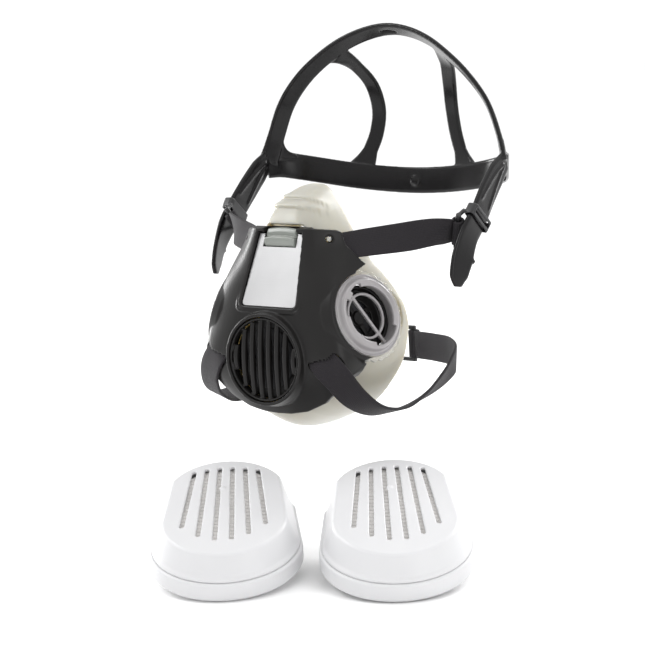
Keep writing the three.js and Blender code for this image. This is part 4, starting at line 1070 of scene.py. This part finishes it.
# Boxes in the buckle: width, depth, height and, for the first two, corner radius
SLEEVE = (18.4, 6.2, 5.8, 2.0)
PASSAGE = (16.6, 4.6, 30, 1.3)
WINDOW = (14.6, 2.6, 20)
LINK = {"offset": 8.6, "down": 1.6, "inward": 2.9, "radius": 1.1}
BAR_BEYOND = 3.4
BAR_INSET = 0.8


def make_buckles():
    across = ARM_DOWN.cross(ARM_OUT).normalized()
    out = across.cross(ARM_DOWN).normalized()
    place = turn_to(across, ARM_DOWN, out, ARM_AT_BUCKLE)
    along_down = place @ spin(-pi / 2, "X")
    made = rounded_box(*SLEEVE, along_down)
    made = cut(made, rounded_box(*PASSAGE, along_down), block(*WINDOW, (0, 0, 8), place))
    reach = UPPER_STRAP_WIDTH / 2 + BAR_BEYOND
    bar = rod(BAR_CENTRE - BAR_ALONG * reach, BAR_CENTRE + BAR_ALONG * reach, BAR_RADIUS)
    same_way = 1 if across.dot(BAR_ALONG) > 0 else -1
    links = []
    for end in (-1, 1):
        tip = BAR_CENTRE + BAR_ALONG * end * (reach - BAR_INSET)
        corner = (ARM_AT_BUCKLE + ARM_DOWN * LINK["down"] + across * end * same_way * LINK["offset"]
                  - out * LINK["inward"])
        links.append(rod(corner, tip, LINK["radius"]))
    made = join(made, bar, *links)
    moulded(made, 0.32, rounds=5)
    for side, mirror in SIDES.items():
        finish(twin(made, mirror), f"strap_buckle_{side}", "buckle", f"buckle_{side}",
               f"buckle_{side}")
    bpy.data.objects.remove(made)


# ---- head harness

CROWN_WIDTH = 10.5
BACK_WIDTH = 14.5
RIB_BAND_WIDTH = 8.6
ARM_WIDTH = 15.5
HARNESS_THICKNESS = 2.6
CROWN = [
    ((75.0, 61.4, 76.5), (-0.6, 0.85, 0), 1.1), ((73.2, 62.8, 82), (-0.6, 0.9, -0.1), 1.05),
    ((70.6, 64.3, 90.4), (-0.55, 0.9, -0.2), 1), ((63.7, 65.6, 106.9), (-0.48, 0.9, -0.33), 1),
    ((52.7, 66.5, 120.5), (-0.38, 0.9, -0.44), 1), ((40.5, 68.3, 130.7), (-0.3, 0.9, -0.5), 1),
    ((27.3, 70.9, 138.9), (-0.2, 0.9, -0.55), 1), ((13.5, 73.2, 144), (-0.1, 0.9, -0.58), 1),
    ((0, 74.2, 145.9), (0, 0.9, -0.58), 1),
]
BACK_BAND = [
    ((75.2, 61.0, 74), (0, 0.3, 1), 1), ((71.5, 69.5, 73.6), (0, 0.1, 1), 1),
    ((64.5, 78, 71.4), (0, 0, 1), 1), ((54, 84.5, 68.9), (0, 0, 1), 1),
    ((38, 90, 66), (0, 0, 1), 1), ((20, 94.5, 63.8), (0, 0, 1), 1),
    ((0, 96, 62.9), (0, 0, 1), 1),
]
HARNESS_RIB = [
    ((34, 71, 134.2), (0.84, -0.16, -0.52), 1.8), ((31.6, 77, 131.6), (0.88, -0.15, -0.4), 1.25),
    ((28.8, 85.5, 126), (0.95, -0.1, -0.1)), ((25, 93.5, 116), (1, -0.1, 0)),
    ((23.5, 97.5, 102), (1, -0.15, 0)), ((25.5, 97.3, 89), (1, -0.2, 0)), ((29, 95.6, 79.5), (1, -0.25, 0)),
    ((31.2, 94.2, 74), (1, -0.27, 0), 1.4), ((34.5, 91.6, 67), (1, -0.3, 0), 2.1),
]
ARM = [
    ((75.2, 60.5, 77), (0, 0.66, -0.75), 0.7), ((75.2, 52.4, 71.5), (0, 0.66, -0.75), 0.95),
    ((75.6, 41.9, 62.8), (0, 0.7, -0.7)), ((76.3, 30.4, 52.1), (0, 0.74, -0.66)),
    ((76.1, 21, 44), (0.1, 0.84, -0.5), 0.95), ((76.1, 13.8, 33), (0.28, 0.9, -0.3), 0.9),
    ((75.8, 10.6, 25.5), (0.3, 0.9, -0.3), 0.75), ((75.7, 9.6, 20.5), (0.3, 0.9, -0.3), 0.3),
]
ARM_RIB_SPREAD = 4.6
ARM_RIB_RADIUS = 0.75


def whole_arc(stations):
    mirrored = [((-x, y, z), (-a, b, c), scale) for (x, y, z), (a, b, c), scale in reversed(stations[:-1])]
    return stations + mirrored


def tube(centres, radius):
    """A thin round bead along a path, with small ends."""
    rings = []
    last = len(centres) - 1
    for k, centre in enumerate(centres):
        along = (centres[min(k + 1, last)] - centres[max(k - 1, 0)]).normalized()
        side = along.orthogonal().normalized()
        other = along.cross(side)
        size = radius * (0.3 if k in (0, last) else 1)
        rings.append([centre + (side * cos(a) + other * sin(a)) * size
                      for a in angles(BEAD_SIDES)])
    return loft(rings)


def arm_ribs():
    """The raised ribs that spread down both faces of an arm, from the temple to its buckle."""
    ribs = []
    frames = band_stations(ARM[:4], 30)
    for face in (-1, 1):
        for edge in (-1, 1):
            path = []
            for k, (centre, wide, normal, _) in enumerate(frames[2:26]):
                spread = ARM_RIB_SPREAD * (0.08 + 0.92 * k / 23) * edge
                path.append(centre + wide * spread + normal * face * (HARNESS_THICKNESS / 2 + 0.05))
            ribs.append(tube(path, ARM_RIB_RADIUS))
    return ribs


def gusset(corner, u, v, size):
    """A web with a hollow round edge that fills the corner between two bands."""
    normal = u.cross(v).normalized()
    hollow = arc(size, size, size, -pi / 2, -pi, 8)
    half = HARNESS_THICKNESS / 2
    outline = [(-3, -3), (size, -3), *hollow, (-3, size)]
    return prism(outline, -half, half, turn_to(u, normal.cross(u), normal, corner))


def make_harness():
    made = band(whole_arc(CROWN), CROWN_WIDTH, HARNESS_THICKNESS, 140)
    rib = band(HARNESS_RIB, RIB_BAND_WIDTH, HARNESS_THICKNESS, 60)
    arm = band(ARM, ARM_WIDTH, HARNESS_THICKNESS, 70)
    nub = rod(Vector((77.6, 19.0, 32)), Vector((78.3, 21.4, 31.4)), 1.4)
    stud = turned([(0, -3.4), (2.5, -3.4), (2.5, -2.2), (1.7, -1.6), (1.7, 1.5), (2.6, 1.8), (2.2, 2.5),
                   (0, 2.7)], about(-Y, Vector(BACK_BAND[-1][0])))
    temple = gusset(Vector((70.4, 68.6, 80.2)), unit(-0.62, 0.78, -0.1), unit(-0.2, 0.0, 1), 8)
    made = join(made, band(whole_arc(BACK_BAND), BACK_WIDTH, HARNESS_THICKNESS, 100))
    for piece in [rib, arm, nub, temple] + arm_ribs():
        made = join(made, *both(piece))
    slot = prism(slot_outline(4.0, 1.2, 8), -6, 6, shift(*CROWN[-1][0]) @ spin(pi / 2))
    made = join(cut(made, slot), stud)
    moulded(made, 0.5, rounds=5, keep=0.4)
    finish(made, "rubber_harness", "rubber", "mask", "head_harness")


# ---- neck clip

def clip_frame(side):
    x, y, z = CLIP_BAR
    high = NECK_STRAP_WIDTH + 4.6
    made = rod(Vector((side * x, y, z - high / 2)), Vector((side * x, y, z + high / 2)), CLIP_RADIUS)
    cheeks = [block(12.4, 2.6, 2, (side * (x - 6), y, z + end * (high / 2 - 1))) for end in (-1, 1)]
    return join(made, *cheeks, block(3, 2.6, high, (side * 2.2, y, z)))


def make_clip():
    _, y, z = CLIP_BAR
    outline = [(3.6, 0.6), (3.6, 4.2), (-8.4, 4.2), (-8.4, -1.2), (-6.4, -1.2), (-6.4, 2.0), (0.9, 2.0),
               (0.9, 0.6)]
    tongue = prism(outline, z - 4.5, z + 4.5, shift(0, y, 0))
    hook = moulded(join(clip_frame(1), tongue), 0.3, rounds=3)
    finish(hook, "clip_hook", "buckle", "clip_hook", "neck_clip_hook")
    loop = moulded(clip_frame(-1), 0.3, rounds=3)
    finish(loop, "clip_loop", "buckle", "mask", "neck_clip_loop")


# ---- filters

FLOOR_Z = -105.4
FILTER_RIM_HEIGHT = 9
FILTER_DECK_HEIGHT = 20.5
DECK_SLOPE = 0.078
PLUG_HEIGHT = 13.5
PLUG_RADIUS = 13.6
PLUG_BORE = 11
PLUG_PLACE = 26
SLOT_COUNT = 6
SLOT_WIDTH = 2.1
FILTER_TURN = 0.62
FILTER_PLACES = {"left": (74.7, -54.7), "right": (1.5, -90)}
FILTER_HALF_WIDTH = 36.4
FILTER_WIDEST = -11.5
FILTER_FAR_HALF_WIDTH = 33.2
FILTER_FAR = 24
FILTER_END = 47.5
FILTER_TIP = -48


def filter_outline(margin):
    """The filter in plan, drawn in by a margin; the round end points to -y."""
    wide = FILTER_HALF_WIDTH - margin
    far_wide = FILTER_FAR_HALF_WIDTH - margin
    rise = FILTER_END - margin - FILTER_FAR
    radius = (far_wide ** 2 + rise ** 2) / (2 * rise)
    half = asin(far_wide / radius)
    shoulder = Vector((far_wide, FILTER_FAR))
    side = [Vector((wide, FILTER_WIDEST)).lerp(shoulder, k / 14) for k in range(14)]
    top = pi / 2
    back = [Vector(p) for p in arc(0, FILTER_END - margin - radius, radius, top - half, top + half, 40)]
    mirrored = [Vector((-p.x, p.y)) for p in reversed(side)]
    front = [Vector((wide * cos(a), FILTER_WIDEST + wide * sin(a)))
             for a in (pi + pi * k / 56 for k in range(1, 56))]
    return side + back + mirrored + front


def filter_body(*levels):
    """A body through the filter's outline at each (margin, height) or (margin, height, slope)."""
    rings = []
    for margin, height, *slope in levels:
        rise = slope[0] if slope else 0.0
        rings.append([(p.x, p.y, height + rise * (p.y - FILTER_TIP)) for p in filter_outline(margin)])
    return loft(rings)


def filter_place(x, y):
    reach = PLUG_PLACE - PLUG_RADIUS + FILTER_HALF_WIDTH - FILTER_WIDEST
    lean = spin(atan2(PLUG_HEIGHT, reach), "X")
    foot = lean @ Vector((0, FILTER_WIDEST - FILTER_HALF_WIDTH + 1, 0))
    return shift(x, y, FLOOR_Z - foot.z) @ spin(FILTER_TURN) @ lean


def deck_slots():
    slots = []
    for k in range(SLOT_COUNT):
        row = k - (SLOT_COUNT - 1) / 2
        near = Vector((7.9 * row, -29.5 + 1.9 * row ** 2))
        far = Vector((6.2 * row, 34.5 - 0.5 * row ** 2))
        along = far - near
        outline = slot_outline(along.length / 2 - SLOT_WIDTH / 2, SLOT_WIDTH / 2)
        place = shift(*(near + far) / 2, 0) @ spin(atan2(-along.x, along.y))
        slots.append(prism(outline, FILTER_RIM_HEIGHT + 2.4, 50, place))
    return slots


def cover_body():
    base = FILTER_RIM_HEIGHT + 0.05
    deck = FILTER_DECK_HEIGHT
    made = filter_body((1.4, base), (1.4, base + 1.0), (1.8, base + 1.6),
                       (2.9, base + 2.2, DECK_SLOPE * 0.3), (6.2, deck - 2.0, DECK_SLOPE),
                       (6.8, deck - 0.8, DECK_SLOPE), (7.9, deck, DECK_SLOPE))
    hollow = filter_body((3.4, base - 1), (4.4, base + 2, DECK_SLOPE * 0.4),
                         (8.6, deck - 3.6, DECK_SLOPE), (9.6, deck - 1.8, DECK_SLOPE))
    made = cut(made, hollow, *deck_slots())
    pip_x, pip_y = -1.3, 15
    pip = turned([(0, -1), (1.6, -1), (1.6, 0.1), (1.1, 0.55), (0, 0.7)],
                 shift(pip_x, pip_y, deck + DECK_SLOPE * (pip_y - FILTER_TIP)))
    made = join(made, pip)
    return moulded(made, 0.42, keep=0.45)


def base_body():
    top = FILTER_RIM_HEIGHT
    made = filter_body((1.6, 0), (0.5, 0.4), (0, 1.2), (0, top - 1.2), (0.3, top - 0.4), (1.1, top))
    made = cut(made, filter_body((3, 2), (3, top + 1)))
    plug_at = shift(0, PLUG_PLACE, 0)
    plug = turned([(PLUG_BORE, 4), (PLUG_RADIUS, 4), (PLUG_RADIUS, -PLUG_HEIGHT),
                   (PLUG_BORE, -PLUG_HEIGHT)], plug_at)
    lugs = []
    for start, end in NOTCHES:
        outline = sector(PLUG_RADIUS - 0.8, NOTCH_RADIUS - 0.4, start + 3, end - 3)
        lugs.append(prism(outline, -PLUG_HEIGHT + 0.6, -PLUG_HEIGHT + 2.0, plug_at))
    made = join(made, plug, *lugs)
    made = cut(made, disc(PLUG_BORE, -PLUG_HEIGHT - 1, 8, plug_at))
    return moulded(made, 0.45, rounds=3, keep=0.45)


FOLD_PITCH = 3.0
FOLD_DEPTH = 0.7
FOLD_REACH = 1.3
FOLDS = 25
FIRST_FOLD = -38.5


def media_body():
    """Filter medium folded into pleats that run across the filter, under the slots."""
    top = FILTER_DECK_HEIGHT - 2.9
    made = filter_body((5, 4.6), (5.8, FILTER_RIM_HEIGHT), (11.0, top, DECK_SLOPE))
    grooves = []
    for k in range(FOLDS):
        y = FIRST_FOLD + k * FOLD_PITCH
        level = top + DECK_SLOPE * (y - FILTER_TIP)
        outline = [(y - FOLD_REACH, level + 1), (y, level - FOLD_DEPTH), (y + FOLD_REACH, level + 1)]
        grooves.append(prism(outline, 0, 80, turn_to(Y, Z, X, X * -40)))
    return cut(made, *grooves)


def make_filters():
    shapes = {
        "filter_cover": (cover_body(), "vented_cover", "filter"),
        "filter_base": (base_body(), "bayonet_base", "filter"),
        "filter_pad": (media_body(), "pleated_media", "media"),
        "filter_gasket": (turned([(PLUG_RADIUS + GAP, -0.6), (14.4, -0.4), (17.0, -0.4), (17.4, -0.7),
                                  (17.4, -1.9), (17.0, -2.2), (14.4, -2.2), (PLUG_RADIUS + GAP, -2.0)],
                                 shift(0, PLUG_PLACE, 0)), "seal_ring", "gasket"),
    }
    for node, (shape, name, slot) in shapes.items():
        for side in SIDES:
            piece = twin(shape, filter_place(*FILTER_PLACES[side]))
            if node in ("filter_pad", "filter_gasket"):
                by_angle(piece, 40)
            finish(piece, f"{name}_{side}", slot, f"filter_{side}", f"{node}_{side}")
        bpy.data.objects.remove(shape)


# ---- everything

for make in (make_camera, make_surroundings, make_floor, make_facepiece, make_shell, make_plate,
             make_button, make_spring, make_exhale_valve, make_grille, make_connectors, make_straps,
             make_buckles, make_harness, make_clip, make_filters):
    make()
